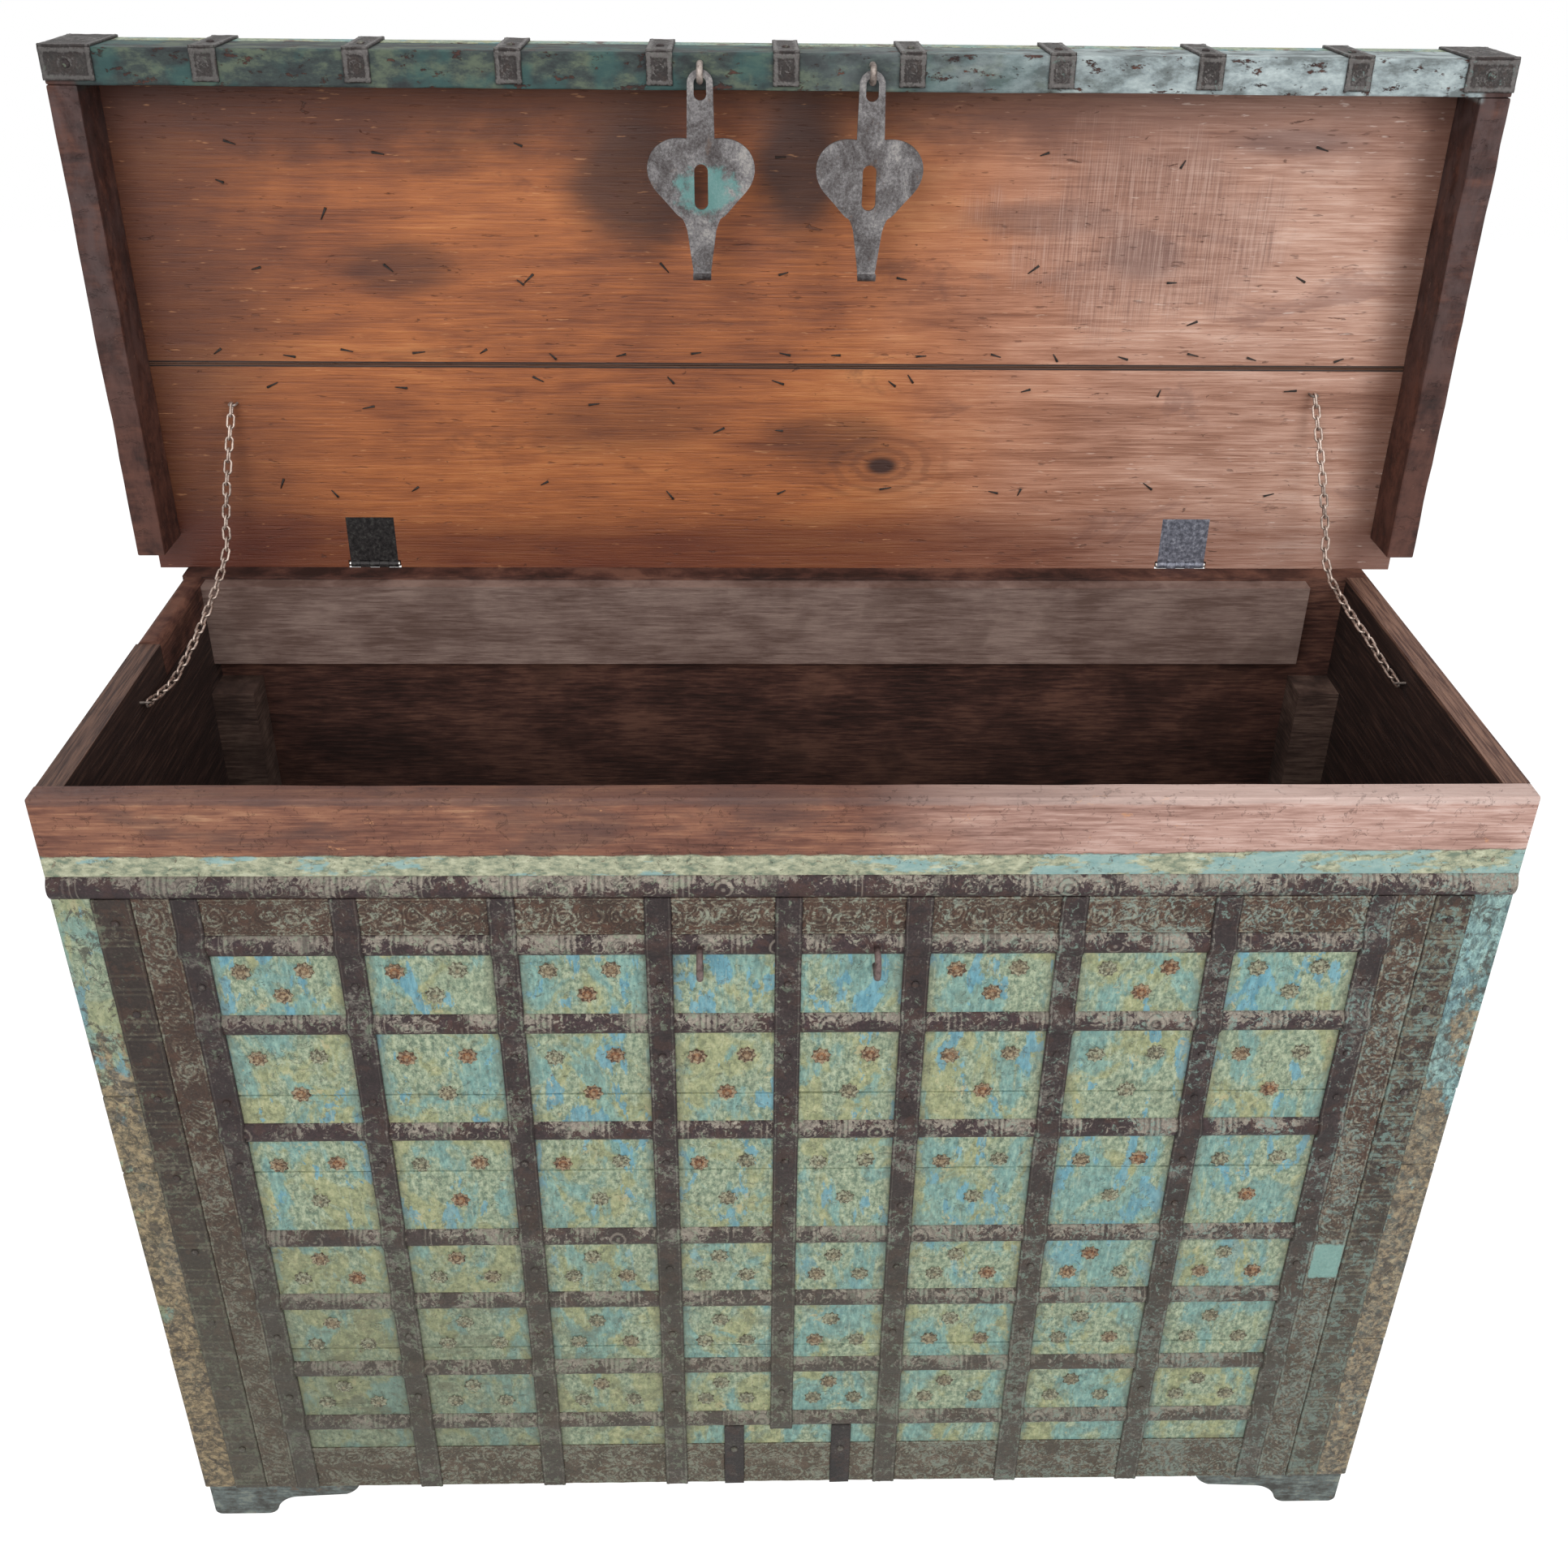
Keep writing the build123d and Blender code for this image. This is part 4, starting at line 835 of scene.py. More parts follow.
def teakLid():
    look, tones = Look("teakLid"), teakSet
    x, z = look.x, look.z

    def away(placeX, placeZ, wide, high):
        return (((x - placeX) / wide) ** 2 + ((z - placeZ) / high) ** 2) ** 0.5

    grain = look.noise(2.2, (34, 1, 1), 6.0, 0.65, 0.4)
    coarse = look.noise(22, (9, 1, 1), 6.0, 0.62, 0.9)
    broad = look.noise(210, (1.6, 1, 1), 4.0, 0.6, 0.5, 12)
    # painted reflection: the right part is greyer wood, lightened and made pinker by painted glare from a
    # lamp on the right
    right = look.step(x + 0.30 * (look.noise(300, (1, 1, 1), 4.0, 0.6) - 0.5), 0.06, 0.56)
    tone = look.ramp(grain * 0.3 + coarse * 0.26 + broad * 0.44, tones["left"])
    tone = tone.under(right * 0.9, look.ramp(grain * 0.4 + coarse * 0.28 + broad * 0.32, tones["right"]))
    drift = look.noise(120, (2.0, 1, 1), 5.0, 0.65, 0.3, 4)
    top = look.step(z + 0.22 * (drift - 0.5), 1.575, 1.665)
    tone = tone.under(top * 0.8 * (1 - 0.35 * right), look.mix(right * 0.8, *tones["top"]))
    tone = tone.under(look.drop(x + 0.16 * (drift - 0.5), -0.74, -0.50) * 0.8, tones["leftEdge"])
    tone = tone.under(look.step(x + 0.10 * (drift - 0.5), 0.69, 0.75) * 0.6, tones["rightEdge"])
    # dark smears in the boards, and painted shadow of the hasps round the hasps
    for placeX, placeZ, wide, high, share in tones["smearsAndHaspShadows"]:
        near = look.drop(away(placeX, placeZ, wide, high) + 1.1 * (drift - 0.5), 0.35, 1.0)
        tone = tone.under(near * share, look.mix(right, *tones["smearAndShadow"]))
    stain = look.patch(0.58, 0.70, 70, (2.6, 1, 1), 5.0, 0.66, 0.8, 9.0)
    tone = tone.under(stain * 0.5, look.mix(right, *tones["stain"]))
    foot = look.step(1.205 + 0.06 * (look.noise(120, (3, 1, 1), 3.0) - 0.5) - z, 0.0, 0.05)
    tone = tone.under(foot * 0.7 * (1 - 0.5 * right), tones["foot"])
    # fine upright saw marks in the upper right
    saw = look.noise(1.7, (1, 30, 40), 3.0, 0.5, 0.0, 2.0)
    placed = away(*tones["sawPlace"]) + 1.6 * (look.noise(60, (1, 1, 1.6), 4.0, shift=3.3) - 0.5)
    sawn = look.drop(placed, 0.55, 1.0)
    tone = tone.under(sawn * 0.35, tones["sawn"])
    tone = tone.under(sawn * look.step(saw, 0.50, 0.64) * 0.3, tones["sawLight"])
    tone = tone.under(sawn * look.step(1 - saw, 0.52, 0.64) * 0.35, tones["sawDark"])
    fleck = look.patch(0.64, 0.72, 4.5, (5, 1, 1), 3.0, shift=7)
    scar = look.patch(0.67, 0.71, 11, (2.6, 1, 1), 5.0, 0.7, 0.6, 77)
    tone = tone.under(fleck * 0.5, tones["fleck"]).under(scar * 0.6, tones["scar"])
    glint = look.patch(0.66, 0.74, 3.5, (7, 1, 1), 3.0, shift=8)
    tone = tone.under(glint * 0.4, look.mix(right, *tones["glint"]))
    # a knot with rings round it, and the dark joint between the two boards
    across, up = (x - tones["knotAt"][0]) / 1.7, z - tones["knotAt"][1]
    knot = (across * across + up * up) ** 0.5
    rings = look.step(((knot + 0.03 * coarse) * 420).sine(), -0.2, 0.8)
    near = look.drop(knot + 0.03 * (drift - 0.5), 0.02, 0.07)
    tone = tone.under(near * (0.2 + rings * 0.3), tones["rings"])
    tone = tone.under(look.drop(knot, 0.006, 0.016), tones["heart"])
    gap = abs(z - tones["jointZ"])
    tone = tone.under(look.drop(gap, 0.0028, 0.0042), tones["joint"])
    tone = tone.under(look.drop(gap, 0.0012, 0.0020), tones["jointLight"])
    # old paint on the lid's top and front edge
    depth = look.y - (0.2845 + 0.01746 * (z - 1.116))
    outside = look.step(depth, 0.012, 0.014).larger(look.step(z, 1.7235, 1.7245))
    weather = look.ramp(grain * 0.5 + coarse * 0.5, tones["weather"])
    paint = oldPaint(look, right, 0.0, 0.7)[0]
    worn = look.patch(0.41, 0.45, 30, (1.3, 1, 1), 6.0, 0.76, 0.6, 5)
    tone = tone.under(outside, look.mix(worn, weather, paint))
    normal = look.bump(grain * 0.7 + coarse * 0.5 + saw * sawn * 0.4 - fleck * 0.3 - scar * 0.5, 1.3)
    return look.finish(tone, look.step(grain, 0.2, 0.8) * 0.15 + 0.44, normal, gloss=0.45)


# tones from dark to light, and how far each fades into painted shade deeper in the chest; darkTeak and
# postTeak are also darkened to stand in for the shade inside the chest
darkTeakSets = {"darkTeak": (((42, 23, 18), (76, 47, 39), (112, 76, 62)), 0.5),
                "dustyTeak": (((96, 74, 66), (120, 98, 90), (142, 120, 110)), 0.0),
                "postTeak": (((52, 38, 33), (84, 64, 56), (120, 98, 86)), 0.5)}


def darkTeak(name):
    look, (tones, shadeFade) = Look(name), darkTeakSets[name]
    grain = look.noise(3.5, (12, 12, 1), 6.0, 0.65, 0.4)
    blots = look.noise(60, (2, 1, 1), 5.0, 0.62)
    tone = look.ramp(grain * 0.5 + blots * 0.5, list(zip((0.3, 0.5, 0.72), tones)))
    tone = tone.under(look.patch(0.52, 0.66, 80, shift=3) * 0.45, tones[0])
    # painted shade: darker below the rim, deeper in the chest
    tone = tone.under(look.drop(look.z, 0.75, 1.03) * shadeFade, (22, 15, 13))
    return look.finish(tone, 0.72, look.bump(grain, 0.9), gloss=0.3)


railSet = {"teal": ((0.25, (36, 40, 42)), (0.5, (54, 64, 62)), (0.75, (88, 98, 82))),
           "tealPatch": (48, 84, 82),
           "grey": ((0.25, (104, 112, 112)), (0.5, (150, 162, 164)), (0.75, (184, 196, 196))),
           "wood": ((0.28, (36, 19, 16)), (0.5, (60, 34, 28)), (0.75, (98, 62, 50))),
           "dust": ((96, 62, 52), (84, 66, 64)), "flake": (132, 106, 92)}


def railPaint():
    look, tones = Look("railPaint"), railSet
    grain = look.noise(3, (20, 4, 4), 6.0, 0.65)
    side = look.step(look.x + 0.2 * (look.noise(180) - 0.5), -0.02, 0.46)
    teal = look.ramp(look.noise(20, (2, 1, 1), 6.0, 0.68), tones["teal"])
    teal = teal.under(look.patch(0.50, 0.62, 70, shift=14) * 0.65, tones["tealPatch"])
    paint = teal.under(side, look.ramp(look.noise(22, (2, 1, 1), 6.0, 0.68, shift=2), tones["grey"]))
    wood = look.ramp(grain * 0.5 + look.noise(40, (1, 1, 2.5), 5.0, 0.65, 0.4, 12) * 0.5, tones["wood"])
    front = look.step(look.z, 1.680, 1.686) * look.drop(abs(look.x), 0.748, 0.760)
    keep = look.patch(0.36, 0.42, 12, (2, 1, 1), 6.0, 0.72, shift=6)
    tone = wood.under(front * keep, paint)
    # the faces turned to the front are dusty, and redder low down
    edge = look.step(abs(look.x), 0.7528, 0.7532) * (1 - front)
    dusty = look.mix(look.step(look.z, 1.25, 1.5), *tones["dust"])
    tone = tone.under(edge * look.patch(0.36, 0.62, 34, (1, 1, 2), 6.0, 0.7, 0.4, 5) * 0.75, dusty)
    flake = look.patch(0.66, 0.70, 9, (1, 1, 1.6), 6.0, 0.72, shift=8) * (1 - front)
    tone = tone.under(flake * 0.6, tones["flake"])
    return look.finish(tone, 0.66, look.bump(grain * 0.4 + keep * 0.6, 0.8), gloss=0.35)


oldPaintSet = {"mint": ((0.28, (100, 119, 101)), (0.5, (143, 157, 132)), (0.74, (182, 191, 162))),
               "straw": ((0.26, (122, 125, 90)), (0.55, (160, 163, 119)), (0.8, (192, 188, 144))),
               "sea": ((0.26, (84, 124, 126)), (0.55, (114, 160, 158)), (0.82, (152, 192, 182))),
               "sky": ((0.28, (82, 136, 156)), (0.72, (118, 172, 188))), "cream": (186, 176, 136),
               "paleStreak": (194, 202, 176), "darkStreak": (96, 108, 96), "flakeShade": (84, 82, 66),
               "flakeHighlight": (210, 214, 192), "speck": (88, 80, 62), "light": (210, 212, 188)}


def oldPaint(look, side, panel, upper):
    # coats of mint, straw, sea green and sky blue, worn through one another;
    # side is 0 on the left and 1 on the right, panel shifts the shares, upper is the share of sky blue
    tones = oldPaintSet
    mint = look.ramp(look.noise(6, (1, 1, 1.5), 6.0, 0.74), tones["mint"])
    straw = look.ramp(look.noise(7, (1, 1, 1.4), 6.0, 0.74, shift=1), tones["straw"])
    sea = look.ramp(look.noise(6, (1, 1, 2.5), 6.0, 0.72, shift=3), tones["sea"])
    sky = look.ramp(look.noise(6, (1, 1, 3), 5.0, 0.7, shift=6), tones["sky"])
    strawSpread = look.noise(60, (1, 1, 1.5), 5.0, 0.62, 0.6, 11) + panel * 0.09 - 0.03 * side
    seaSpread = look.noise(50, (1, 1, 1.8), 5.0, 0.64, 0.5, 17) - panel * 0.09 + 0.03 * side
    skySpread = look.noise(34, (1, 1, 2.4), 5.0, 0.66, 0.3, 23) - panel * 0.05 + 0.02 * side
    strawHere, seaHere = look.step(strawSpread, 0.49, 0.56), look.step(seaSpread, 0.50, 0.58)
    skyHere = look.step(skySpread, 0.575, 0.60)
    paint = mint.under(strawHere * 0.75, straw).under(seaHere * 0.7, sea).under(skyHere * upper * 0.8, sky)
    paint = paint.under(look.patch(0.62, 0.65, 30, (1, 1, 1.3), 6.0, 0.76, 0.4, 31) * 0.7, tones["cream"])
    streak = look.noise(4, (1, 1, 11), 4.0, 0.66, 0.2, 4)
    paint = paint.under(look.step(streak, 0.58, 0.72) * 0.4, tones["paleStreak"])
    paint = paint.under(look.step(1 - streak, 0.58, 0.72) * 0.35, tones["darkStreak"])
    # curled edges of the flakes: a painted highlight on each edge, with a painted shade line beside it
    flakes = look.noise(13, (1, 1, 1), 6.0, 0.78, 1.1, 47)
    paint = paint.under(look.drop(abs(flakes - 0.60), 0.0, 0.014) * 0.45, tones["flakeShade"])
    paint = paint.under(look.drop(abs(flakes - 0.62), 0.0, 0.012) * 0.5, tones["flakeHighlight"])
    paint = paint.under(look.patch(0.63, 0.70, 3.0, (1.5, 1, 1), 3.0, 0.6, shift=13) * 0.55, tones["speck"])
    paint = paint.under(look.patch(0.64, 0.74, 2.6, (1.6, 1, 1), 3.0, 0.6, shift=15) * 0.45, tones["light"])
    return paint, flakes


frontSet = {"wood": ((0.2, (74, 44, 36)), (0.42, (114, 74, 60)), (0.6, (144, 98, 76)),
                     (0.82, (184, 140, 108))),
            "pink": ((0.2, (134, 98, 86)), (0.5, (186, 150, 138)), (0.78, (216, 188, 178))),
            # inside: dark teak of the inner faces, darkened to stand in for the shade inside the chest
            "inside": ((0.25, (28, 18, 16)), (0.55, (46, 31, 27)), (0.8, (74, 54, 46))),
            "soot": (80, 60, 56), "chip": (202, 146, 104), "ironShadeAndGrime": (100, 98, 80), "grime": (98, 94, 76),
            "lowLeftShade": (98, 102, 82), "bare": (96, 66, 56),
            "tan": ((0.3, (72, 60, 50)), (0.5, (122, 104, 82)), (0.72, (168, 146, 112))),
            "blue": ((0.3, (70, 92, 98)), (0.5, (116, 146, 148)), (0.72, (160, 196, 192))),
            "stile": (128, 138, 118), "stileBare": (70, 64, 58),
            "strip": ((0.26, (112, 126, 108)), (0.46, (152, 156, 132)), (0.62, (176, 178, 150)),
                      (0.8, (196, 198, 172))), "stripBlue": (136, 176, 178), "stripBare": (112, 84, 68),
            "seam": (90, 70, 56), "rim": ((92, 72, 68), (206, 186, 178)),
            "rows": (0.8305, 0.6775, 0.5125, 0.4065, 0.2875)}


def frontPaint():
    look, tones = Look("frontPaint"), frontSet
    z, x = look.z, look.x
    grain = look.noise(2.4, (22, 1, 1), 6.0, 0.65, 0.5)
    coarse = look.noise(20, (7, 1, 1), 5.0, 0.65, 0.8, 2.0)
    side = look.step(x + 0.2 * (look.noise(200) - 0.5), 0.02, 0.42)
    blots = look.noise(60, (2, 1, 1), 5.0, 0.66, 0.4, 3)
    wood = look.ramp(grain * 0.4 + coarse * 0.3 + blots * 0.3, tones["wood"])
    wood = wood.under(side, look.ramp(grain * 0.5 + coarse * 0.5, tones["pink"]))
    soot = look.patch(0.50, 0.66, 60, (3, 1, 1), 5.0, 0.65, 0.3, 5.0) * (1 - side)
    wood = wood.under(soot * 0.55, tones["soot"])
    wood = wood.under(look.patch(0.66, 0.69, 20, (2, 1, 1), 5.0, 0.7, shift=9) * 0.6, tones["chip"])

    # each panel has its own share of the coats of old paint
    column = ((abs(x) + 0.025) / 0.16).floor() + (x > 0) * 7
    first, *others = [z > height for height in tones["rows"]]
    row = sum(others, first)
    cell = look.add("ShaderNodeCombineXYZ", {}, {0: column, 1: row})
    panel = look.add("ShaderNodeTexWhiteNoise", {"noise_dimensions": "2D"}, {"Vector": cell}, "Value") - 0.5
    paint, flakes = oldPaint(look, side, panel, look.step(z, 0.30, 0.62))

    # dirt and painted shade against the iron; painted shade towards the lower left
    count = (abs(x) - 0.135) / 0.160
    reach = abs(count - count.nearest())
    # grime with painted shade: the paint darkens close to the straps and bands
    ironShadeAndGrime = look.step(0.150 + 0.05 * look.noise(18, shift=5) - reach, 0.0, 0.085)
    paint = paint.under(ironShadeAndGrime * look.step(abs(x), 0.05, 0.07) * 0.45, tones["ironShadeAndGrime"])
    grime = look.patch(0.50, 0.62, 40, (1.3, 1, 1), 6.0, 0.76, 0.6, 27)
    # painted shade: grime patches spread further and a darker tone is laid on towards the bottom, strongest
    # on the left
    lower = look.drop(z + 0.12 * (look.noise(120) - 0.5), 0.22, 0.62)
    left = look.drop(x + 0.3 * (look.noise(160, shift=8) - 0.5), -0.50, -0.05)
    paint = paint.under(grime * (0.16 + (0.2 + 0.35 * left) * lower), tones["grime"])
    paint = paint.under(lower * left * 0.5, tones["lowLeftShade"])
    paint = paint.under(look.patch(0.67, 0.70, 14, (1.6, 1, 1), 6.0, 0.76, 0.5, 41) * 0.75, tones["bare"])

    # the stiles outside the border: brown on the left, blue then dark on the right
    flaky = look.noise(15, (1, 1, 1.2), 6.0, 0.78, 0.8, 51)
    tan = look.ramp(look.noise(8, (1, 1, 1), 6.0, 0.75, 0.5, 53), tones["tan"])
    blue = look.ramp(look.noise(9, (1, 1, 1.6), 6.0, 0.75, 0.5, 57), tones["blue"])
    high = look.step(z, 0.6, 0.95) - 0.4
    tanShare = look.step(look.noise(60, (1, 1, 1.6), 5.0, 0.7, shift=51) - 0.22 * high, 0.44, 0.50)
    stile = look.mix((x > 0) * 0.8, look.mix(0.25, paint, tones["stile"]), blue).under(tanShare * 0.85, tan)
    stile = stile.under(look.step(flaky, 0.54, 0.57) * 0.75, tones["stileBare"])
    paint = paint.under(look.step(abs(x), 0.705, 0.712), stile)

    # a painted strip over the top band, then bare wood up to the worn rim
    edge = z + 0.008 * (look.noise(9, (3, 1, 1), 5.0, 0.7, shift=61) - 0.5) - 0.005 * look.step(x, 0.2, 0.7)
    bare = look.step(edge, 1.0455, 1.0465)
    strip = look.ramp(look.noise(8, (2, 1, 1), 6.0, 0.78, shift=63), tones["strip"])
    stripBlue = look.step(look.noise(30, (3, 1, 1), 5.0, 0.7, shift=66) + 0.1 * side, 0.56, 0.61)
    strip = strip.under(stripBlue * 0.7, tones["stripBlue"])
    strip = strip.under(look.step(flakes, 0.60, 0.63) * 0.5, tones["stripBare"])
    tone = paint.under(look.step(z, 1.018, 1.022), strip).under(bare, wood)
    tone = tone.under(look.drop(abs(edge - 1.046), 0.0004, 0.0016) * 0.5, tones["seam"])
    worn = look.step(z + 0.012 * (look.noise(24, (2, 1, 1), 6.0, 0.75, shift=67) - 0.5), 1.1035, 1.1075)
    tone = tone.under(worn * 0.55, look.mix(side, *tones["rim"]))
    inside = look.step(look.y, -0.266, -0.262) * look.drop(z, 1.1085, 1.1095)
    tone = tone.under(inside, look.ramp(grain, tones["inside"]))
    flake = look.noise(5, (1.4, 1, 1), 5.0, 0.7, shift=13)
    normal = look.bump(grain * 0.3 + flake * 0.4 + look.step(flakes, 0.59, 0.63) * 0.5, 0.9)
    normal = look.bump(bare * -1.0, 0.5, normal)
    return look.finish(tone, look.step(flake, 0.3, 0.7) * 0.2 + 0.52, normal, gloss=0.35)


endPaintSet = {"rimRight": ((0.3, (56, 38, 33)), (0.7, (104, 78, 66))),
               "rimLeft": ((0.3, (76, 50, 42)), (0.7, (134, 102, 86)))}


def sidePaint():
    # ends: the same paint, thinner; their inner faces are dark teak, darkened to stand in for the shade
    # inside the chest
    look = Look("sidePaint")
    grain = look.noise(3, (1, 26, 1), 6.0, 0.65, 0.5)
    rimRight, rimLeft = look.ramp(grain, endPaintSet["rimRight"]), look.ramp(grain, endPaintSet["rimLeft"])
    rim = look.mix(look.x > 0, rimRight, rimLeft)
    wood = look.ramp(grain, frontSet["inside"]).under(look.step(look.z, 1.1085, 1.1095), rim)
    paint = oldPaint(look, look.step(look.x, -0.1, 0.1), 0.0, 0.5)[0]
    rubbed = look.patch(0.57, 0.61, 30, (1, 1.6, 1), 6.0, 0.76, 0.6, 8)
    outside = look.step(abs(look.x), 0.740, 0.745) * look.drop(look.z, 1.030, 1.036)
    tone = wood.under(outside * (1 - rubbed * 0.8), paint)
    return look.finish(tone, 0.65, look.bump(grain * 0.6 + rubbed * 0.4, 0.8), gloss=0.35)


footSet = {"paint": ((0.32, (58, 58, 54)), (0.46, (84, 88, 84)), (0.56, (98, 108, 106)),
                     (0.7, (128, 134, 124))),
           "chip": (104, 86, 70)}


def footPaint():
    look = Look("footPaint")
    grain = look.noise(3.5, (8, 8, 1.5), 6.0, 0.65)
    tone = look.ramp(grain * 0.4 + look.noise(26, (1, 1, 1), 6.0, 0.7) * 0.6, footSet["paint"])
    tone = tone.under(look.patch(0.60, 0.65, 15, (1, 1, 1), 5.0, 0.7, shift=4) * 0.7, footSet["chip"])
    return look.finish(tone, 0.6, look.bump(grain, 0.8), gloss=0.35)


# dark iron, the worn metal of its crests and the paint left on it; the shares are 0 to 1
ironSets = {
    "bandIron": {"dark": (62, 46, 48), "worn": (142, 134, 122), "paint": (140, 150, 128), "wornShare": 0.52,
                 "paintShare": 0.42, "embossed": 0.05, "lit": 0.03, "crown": 0.16, "drift": 0.85},
    "strapIron": {"dark": (54, 43, 43), "worn": (112, 107, 99), "paint": (122, 134, 114), "wornShare": 0.34,
                  "paintShare": 0.38, "rust": 0.15, "embossed": 0.08, "lit": 0.02, "drift": 0.6},
    "nailIron": {"dark": (60, 50, 48), "worn": (104, 98, 92), "paint": (122, 130, 112), "wornShare": 0.3,
                 "paintShare": 0.3},
    "lidIron": {"dark": (58, 54, 52), "worn": (96, 92, 90), "paint": (90, 100, 88), "wornShare": 0.4,
                "paintShare": 0.2, "rust": 0.1, "size": 0.8, "greyFoot": 0.0},
    "plainIron": {"dark": (48, 43, 41), "worn": (74, 70, 65), "paint": (100, 100, 88), "wornShare": 0.2,
                  "paintShare": 0.0, "rust": 0.12, "greyFoot": 0.0},
    "sheetIron": {"dark": (80, 61, 50), "worn": (134, 125, 108), "paint": (156, 164, 146), "wornShare": 0.42,
                  "paintShare": 0.48, "rust": 0.35, "size": 0.85, "embossed": 0.06, "lit": 0.03,
                  "crest": 0.16, "patched": True},
    "borderIron": {"dark": (58, 47, 41), "worn": (104, 98, 82), "paint": (112, 122, 100), "wornShare": 0.38,
                   "paintShare": 0.42, "rust": 0.25, "size": 1.2, "embossed": 0.08, "lit": 0.05, "drift": 0.5,
                   "crest": 0.25}}
ironTones = {"rust": (108, 72, 54), "verdigris": (122, 156, 154), "line": (36, 28, 28),
             "groove": (44, 34, 34),
             "foot": ((70, 64, 54), (128, 128, 110)), "patch": ((104, 150, 146), (158, 196, 184)),
             "patchAt": (0.650, 0.462)}


def ironLook(name, dark, worn, paint, wornShare, paintShare, rust=0.2, size=1.0, greyFoot=0.35, embossed=0.2,
             lit=0.0, crown=0.0, drift=0.4, crest=0.5, patched=False):
    look, tones = Look(name), ironTones
    relief = look.layer("relief")
    fine = look.noise(3.2 * size, (1, 1, 1), 5.0, 0.74, 0.3)
    wide = look.noise(62 * size, (1, 1, 1), 4.0, 0.62, 0.5, 5)
    blot = look.noise(11 * size, (1, 1, 1), 6.0, 0.78, 1.1, 9)
    right = look.step(look.x + 0.3 * (wide - 0.5), -0.05, 0.6)
    base = look.ramp(fine * 0.6 + wide * 0.4, [(0.28, (*dark, 0.45)), (0.5, dark), (0.75, (*dark, 2.0))])
    base = base.under(look.patch(0.50, 0.58, 22 * size, shift=21, rough=0.7) * rust, tones["rust"])
    # worn metal, more of it where the relief stands up; the extra pale metal towards the right is painted
    # light
    start = 0.64 - 0.2 * wornShare
    spread = blot + relief * embossed + (wide - 0.5) * drift + (fine - 0.5) * 0.2 + lit * right
    # wear and painted shade: the upper half of a band rubs paler, its downward-facing lower half is kept
    # darker
    spread = spread + look.layer("tone") * crown
    rubbed = look.step(spread, start, start + 0.045)
    pale = look.ramp(fine * 0.5 + look.noise(7 * size, (1, 1, 1), 5.0, 0.75, 0.6, 15) * 0.5, [
        (0.28, (*worn, 0.5)), (0.5, worn), (0.72, (*worn, 1.5))])
    base = base.under(rubbed * 0.9, pale)
    # flecks of the old paint, more of them towards the right as painted light
    low = look.drop(look.z, 0.25, 0.75)
    start = 0.66 - 0.2 * paintShare
    flaking = look.noise(9 * size, (1, 1, 1), 6.0, 0.78, 0.7, 33)
    spots = flaking + relief * 0.05 + (wide - 0.5) * 0.3 + low * 0.03 + lit * 0.7 * right
    flecks = look.step(spots, start, start + 0.03)
    base = base.under(flecks * 0.8, look.mix(right * 0.6, paint, tones["verdigris"]))
    # a dark line round each worn patch, and bright crests on the embossing
    base = base.under(look.drop(abs(spread - (0.635 - 0.2 * wornShare)), 0.0, 0.02) * 0.5, tones["line"])
    groove = look.step(relief, 0.02, 0.08) * look.drop(relief, 0.2, 0.34)
    base = base.under(groove * 0.5, tones["groove"])
    base = base.under(look.step(relief, 0.42, 0.7) * crest, (*worn, 1.25))
    # painted shade: the iron darkens towards the left
    left = look.drop(look.x + 0.2 * (wide - 0.5), -0.62, -0.35)
    base = base.under(left * 0.3, (*dark, 0.7)).under(low * greyFoot, look.mix(fine, *tones["foot"]))
    if patched:
        placeX, placeZ = tones["patchAt"]
        square = abs(look.x - placeX).larger(abs(look.z - placeZ) * 0.62) + 0.012 * (flaking - 0.5)
        base = base.under(look.drop(square, 0.0165, 0.018) * 0.85, look.mix(fine, *tones["patch"]))
    pits = look.noise(2.2 * size, (1, 1, 1), 3.0, 0.6, 0.0, 3)
    normal = look.bump(pits * 0.5 + fine * 0.8 + blot * 1.6, 1.0)
    return look.finish(base, 0.6 - 0.12 * rubbed + 0.14 * flecks, normal, (1 - flecks) * 0.25)


flowerTones = {"rust": ((0.28, (70, 48, 38)), (0.5, (122, 84, 60)), (0.72, (160, 122, 88))),
               "dull": ((0.28, (74, 70, 58)), (0.5, (118, 116, 96)), (0.72, (160, 164, 140))),
               "low": (104, 104, 88), "boss": (176, 160, 132), "rim": ((62, 50, 42), (190, 190, 164))}


def flowerRust():
    look, tones = Look("flowerRust"), flowerTones
    relief, tone = look.layer("relief"), look.layer("tone")
    fine = look.noise(3, (1, 1, 1), 5.0, 0.74)
    base = look.ramp(fine, tones["rust"]).under(look.step(tone, 0.2, 0.6), look.ramp(fine, tones["dull"]))
    base = base.under(look.drop(look.z, 0.20, 0.55) * 0.4, tones["low"])
    base = base.under(look.step(relief, 0.5, 1.0) * 0.4, tones["boss"])
    rim = look.mix(look.step(fine, 0.42, 0.58), *tones["rim"])
    base = base.under(look.drop(relief, 0.0, 0.12) * 0.35, rim)
    return look.finish(base, 0.7, look.bump(fine, 0.5), 0.1, gloss=0.35)


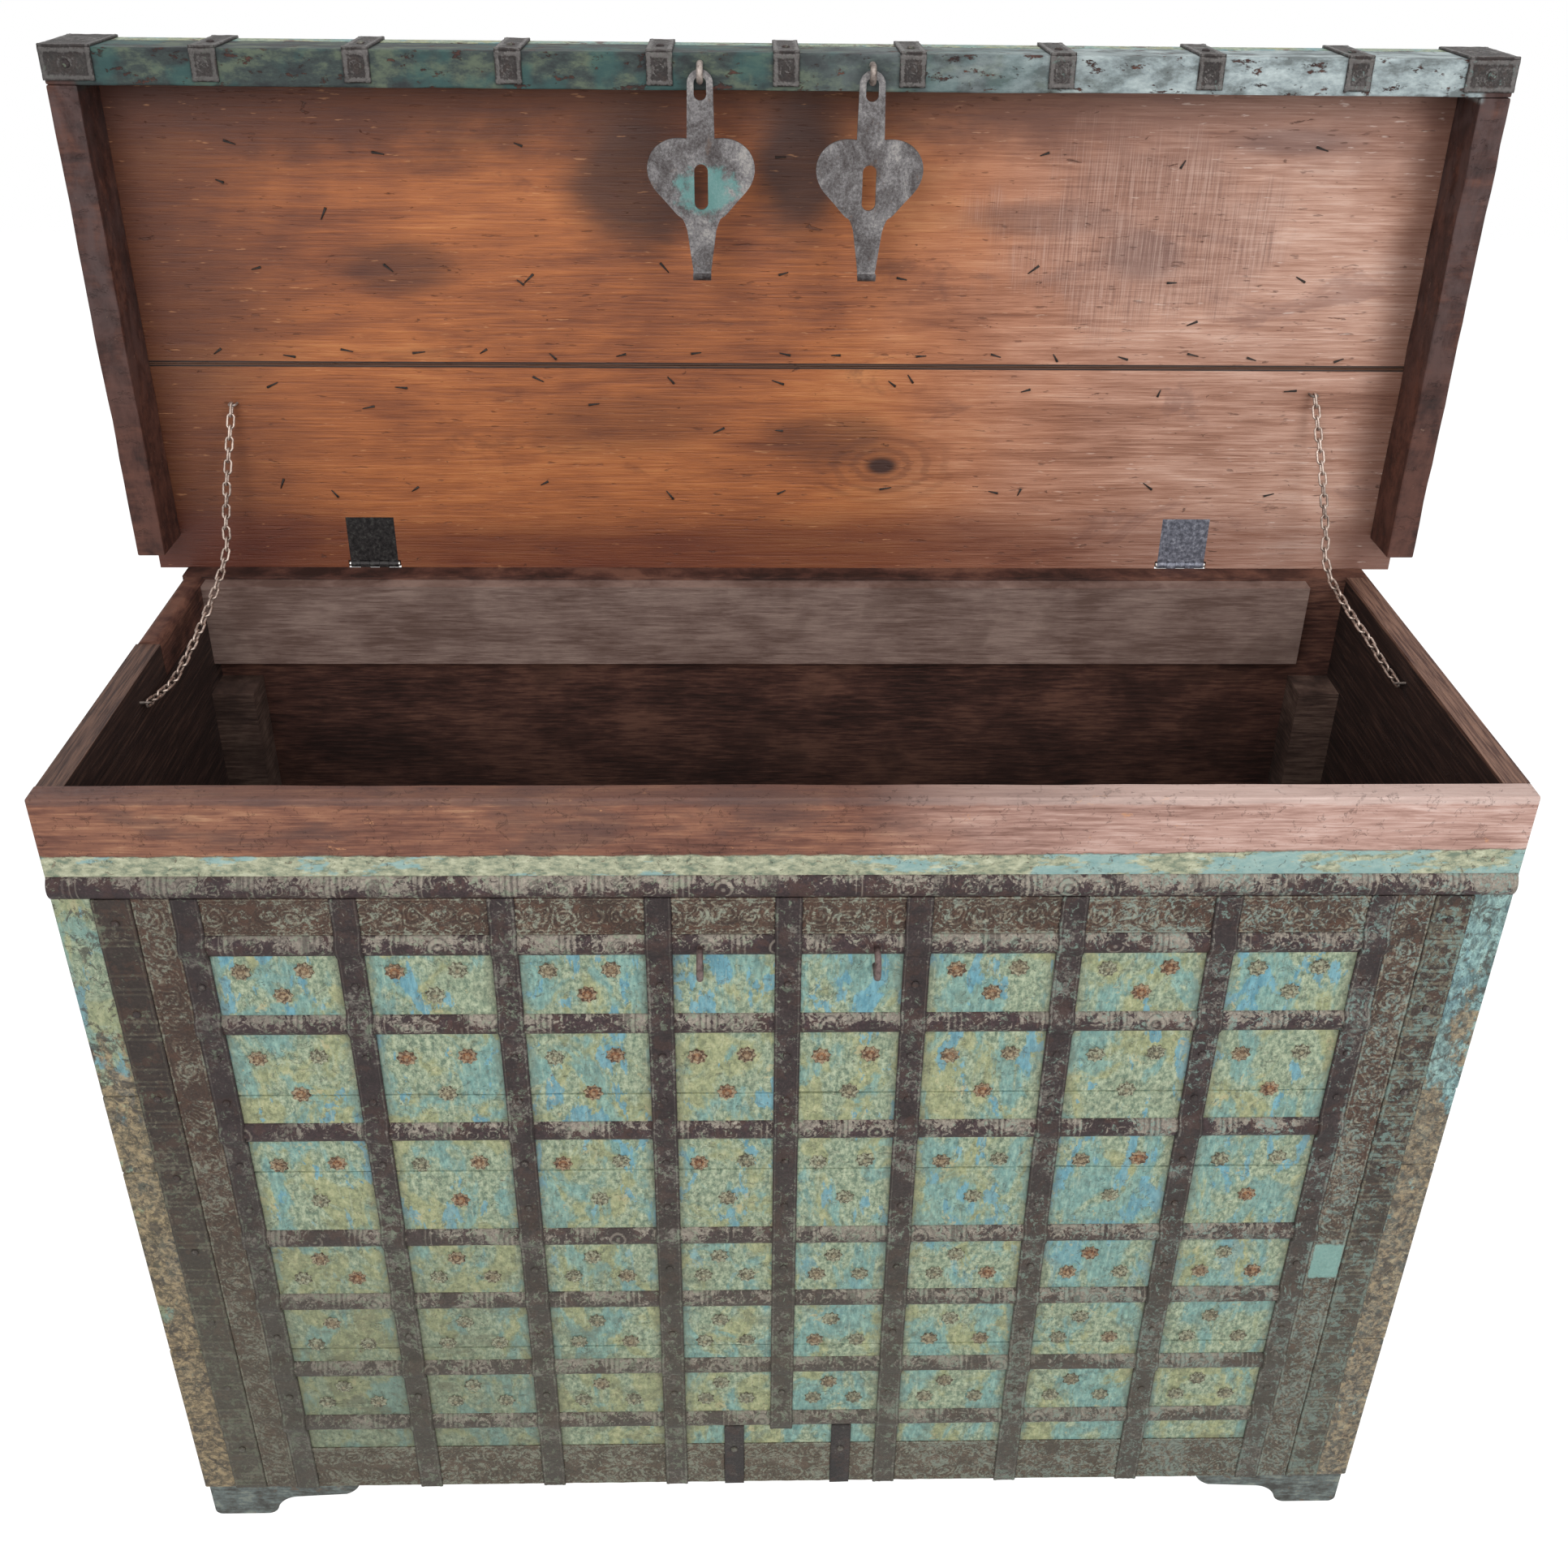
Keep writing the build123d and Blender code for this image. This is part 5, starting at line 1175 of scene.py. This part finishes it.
# dark and light tones, roughness, metallic share and grain size
steelSets = {"pinSteel": ((190, 184, 178), (228, 222, 216), 0.25, 0.9, 1.0),
             "chainSteel": ((150, 132, 122), (206, 188, 176), 0.3, 0.75, 1.0),
             "darkStaple": ((62, 46, 45), (132, 114, 110), 0.5, 0.35, 2.0),
             "stapleIron": ((88, 76, 70), (178, 166, 158), 0.4, 0.5, 2.0)}
hingeSet = {"left": ((0.3, (34, 32, 32)), (0.6, (50, 46, 46)), (0.8, (70, 70, 66))),
            "right": ((0.3, (92, 94, 104)), (0.6, (126, 128, 140)), (0.8, (160, 162, 170)))}
haspSet = {"iron": ((0.26, (58, 50, 50)), (0.44, (92, 88, 88)), (0.58, (120, 117, 118)),
                    (0.76, (158, 154, 150))),
           "rust": (96, 76, 64), "verdigris": (94, 146, 142), "patch": (-0.086, 1.588, 0.04, 0.032)}


def steelLook(name):
    look, (dark, light, rough, metal, size) = Look(name), steelSets[name]
    fine = look.noise(5 * size, (1, 1, 1), 5.0, 0.7, 0.3)
    tone = look.ramp(fine * 0.6 + look.noise(22 * size, shift=4) * 0.4, [(0.32, dark), (0.68, light)])
    return look.finish(tone, look.step(fine, 0.3, 0.7) * 0.2 + rough, look.bump(fine, 0.3), metal)


def hingeSteel():
    look = Look("hingeSteel")
    fine = look.noise(5, (1, 1, 1), 5.0, 0.7, 0.3)
    tone = look.mix(look.x > 0, look.ramp(fine, hingeSet["left"]), look.ramp(fine, hingeSet["right"]))
    return look.finish(tone, look.step(fine, 0.3, 0.7) * 0.25 + 0.4, look.bump(fine, 0.3), 0.5)


def haspIron():
    look = Look("haspIron")
    fine = look.noise(3, (1, 1, 1), 6.0, 0.74, 0.4)
    wide = look.noise(30, (1, 1, 1.4), 5.0, 0.68, 0.6, 5)
    tone = look.ramp(fine * 0.45 + wide * 0.55, haspSet["iron"])
    rust = look.patch(0.60, 0.65, 15, (1, 1, 1.6), 6.0, 0.74, 0.5, 14)
    tone = tone.under(rust * 0.5, haspSet["rust"])
    # verdigris on the shoulder of the left one
    placeX, placeZ, reachX, reachZ = haspSet["patch"]
    across, up = (look.x - placeX) / reachX, (look.z - placeZ) / reachZ
    edge = 1.8 * (look.noise(12, shift=4, rough=0.7) - 0.5)
    patina = look.drop((across ** 2 + up ** 2) ** 0.5 + edge, 0.5, 1.0)
    tone = tone.under(patina * 0.75, haspSet["verdigris"])
    return look.finish(tone, 0.52, look.bump(fine + wide * 0.5, 0.6), 0.3 - 0.15 * rust)


looks = {name: ironLook(name, **values) for name, values in ironSets.items()}
looks.update({name: darkTeak(name) for name in darkTeakSets})
looks.update({name: steelLook(name) for name in steelSets})
looks.update({make.__name__: make() for make in (
    teakLid, railPaint, frontPaint, sidePaint, footPaint, flowerRust, hingeSteel, haspIron)})
print("finishes made:", len(looks))

dressSet = {"teakLid": ("lid_front_board", "lid_rear_board"),
            "darkTeak": ("back_planks", "floor_boards", "floor_bearers", "left_rim_block"),
            "dustyTeak": ("inner_back_rail",), "postTeak": ("corner_posts",),
            "sidePaint": ("left_end_planks", "right_end_planks"),
            "footPaint": ("foot_front_left", "foot_front_right", "foot_back_left", "foot_back_right"),
            "haspIron": ("hasp_left", "hasp_right"),
            "hingeSteel": ("hinge_body_leaves", "hinge_lid_leaves", "hinge_lid_screws"),
            "pinSteel": ("hinge_pins", "hinge_body_screws"),
            "stapleIron": ("lid_staples", "lid_chain_staples", "wall_chain_staples"),
            "darkStaple": ("front_staples",),
            "chainSteel": [name for name in nodes if name.startswith("chain_")]}
for lookName, partNames in dressSet.items():
    for partName in partNames:
        slots = nodes[partName].data.materials
        slots.clear()
        slots.append(looks[lookName])
print("parts dressed")

makeFrontBands(looks["bandIron"])
makeFrontStraps(looks["strapIron"], looks["plainIron"])
makeBorders(looks["sheetIron"], looks["borderIron"])
makeFriezes(looks["sheetIron"])
makeFlowers(looks["flowerRust"])
makeNails(looks["nailIron"])
makeEndIron(looks["strapIron"])
makeLidIron(looks["strapIron"], looks["flowerRust"])
makeLidStraps(looks["lidIron"])
makeNailTips(looks["plainIron"])
makeWoodwork(looks["frontPaint"], looks["railPaint"])

print("pieces made")
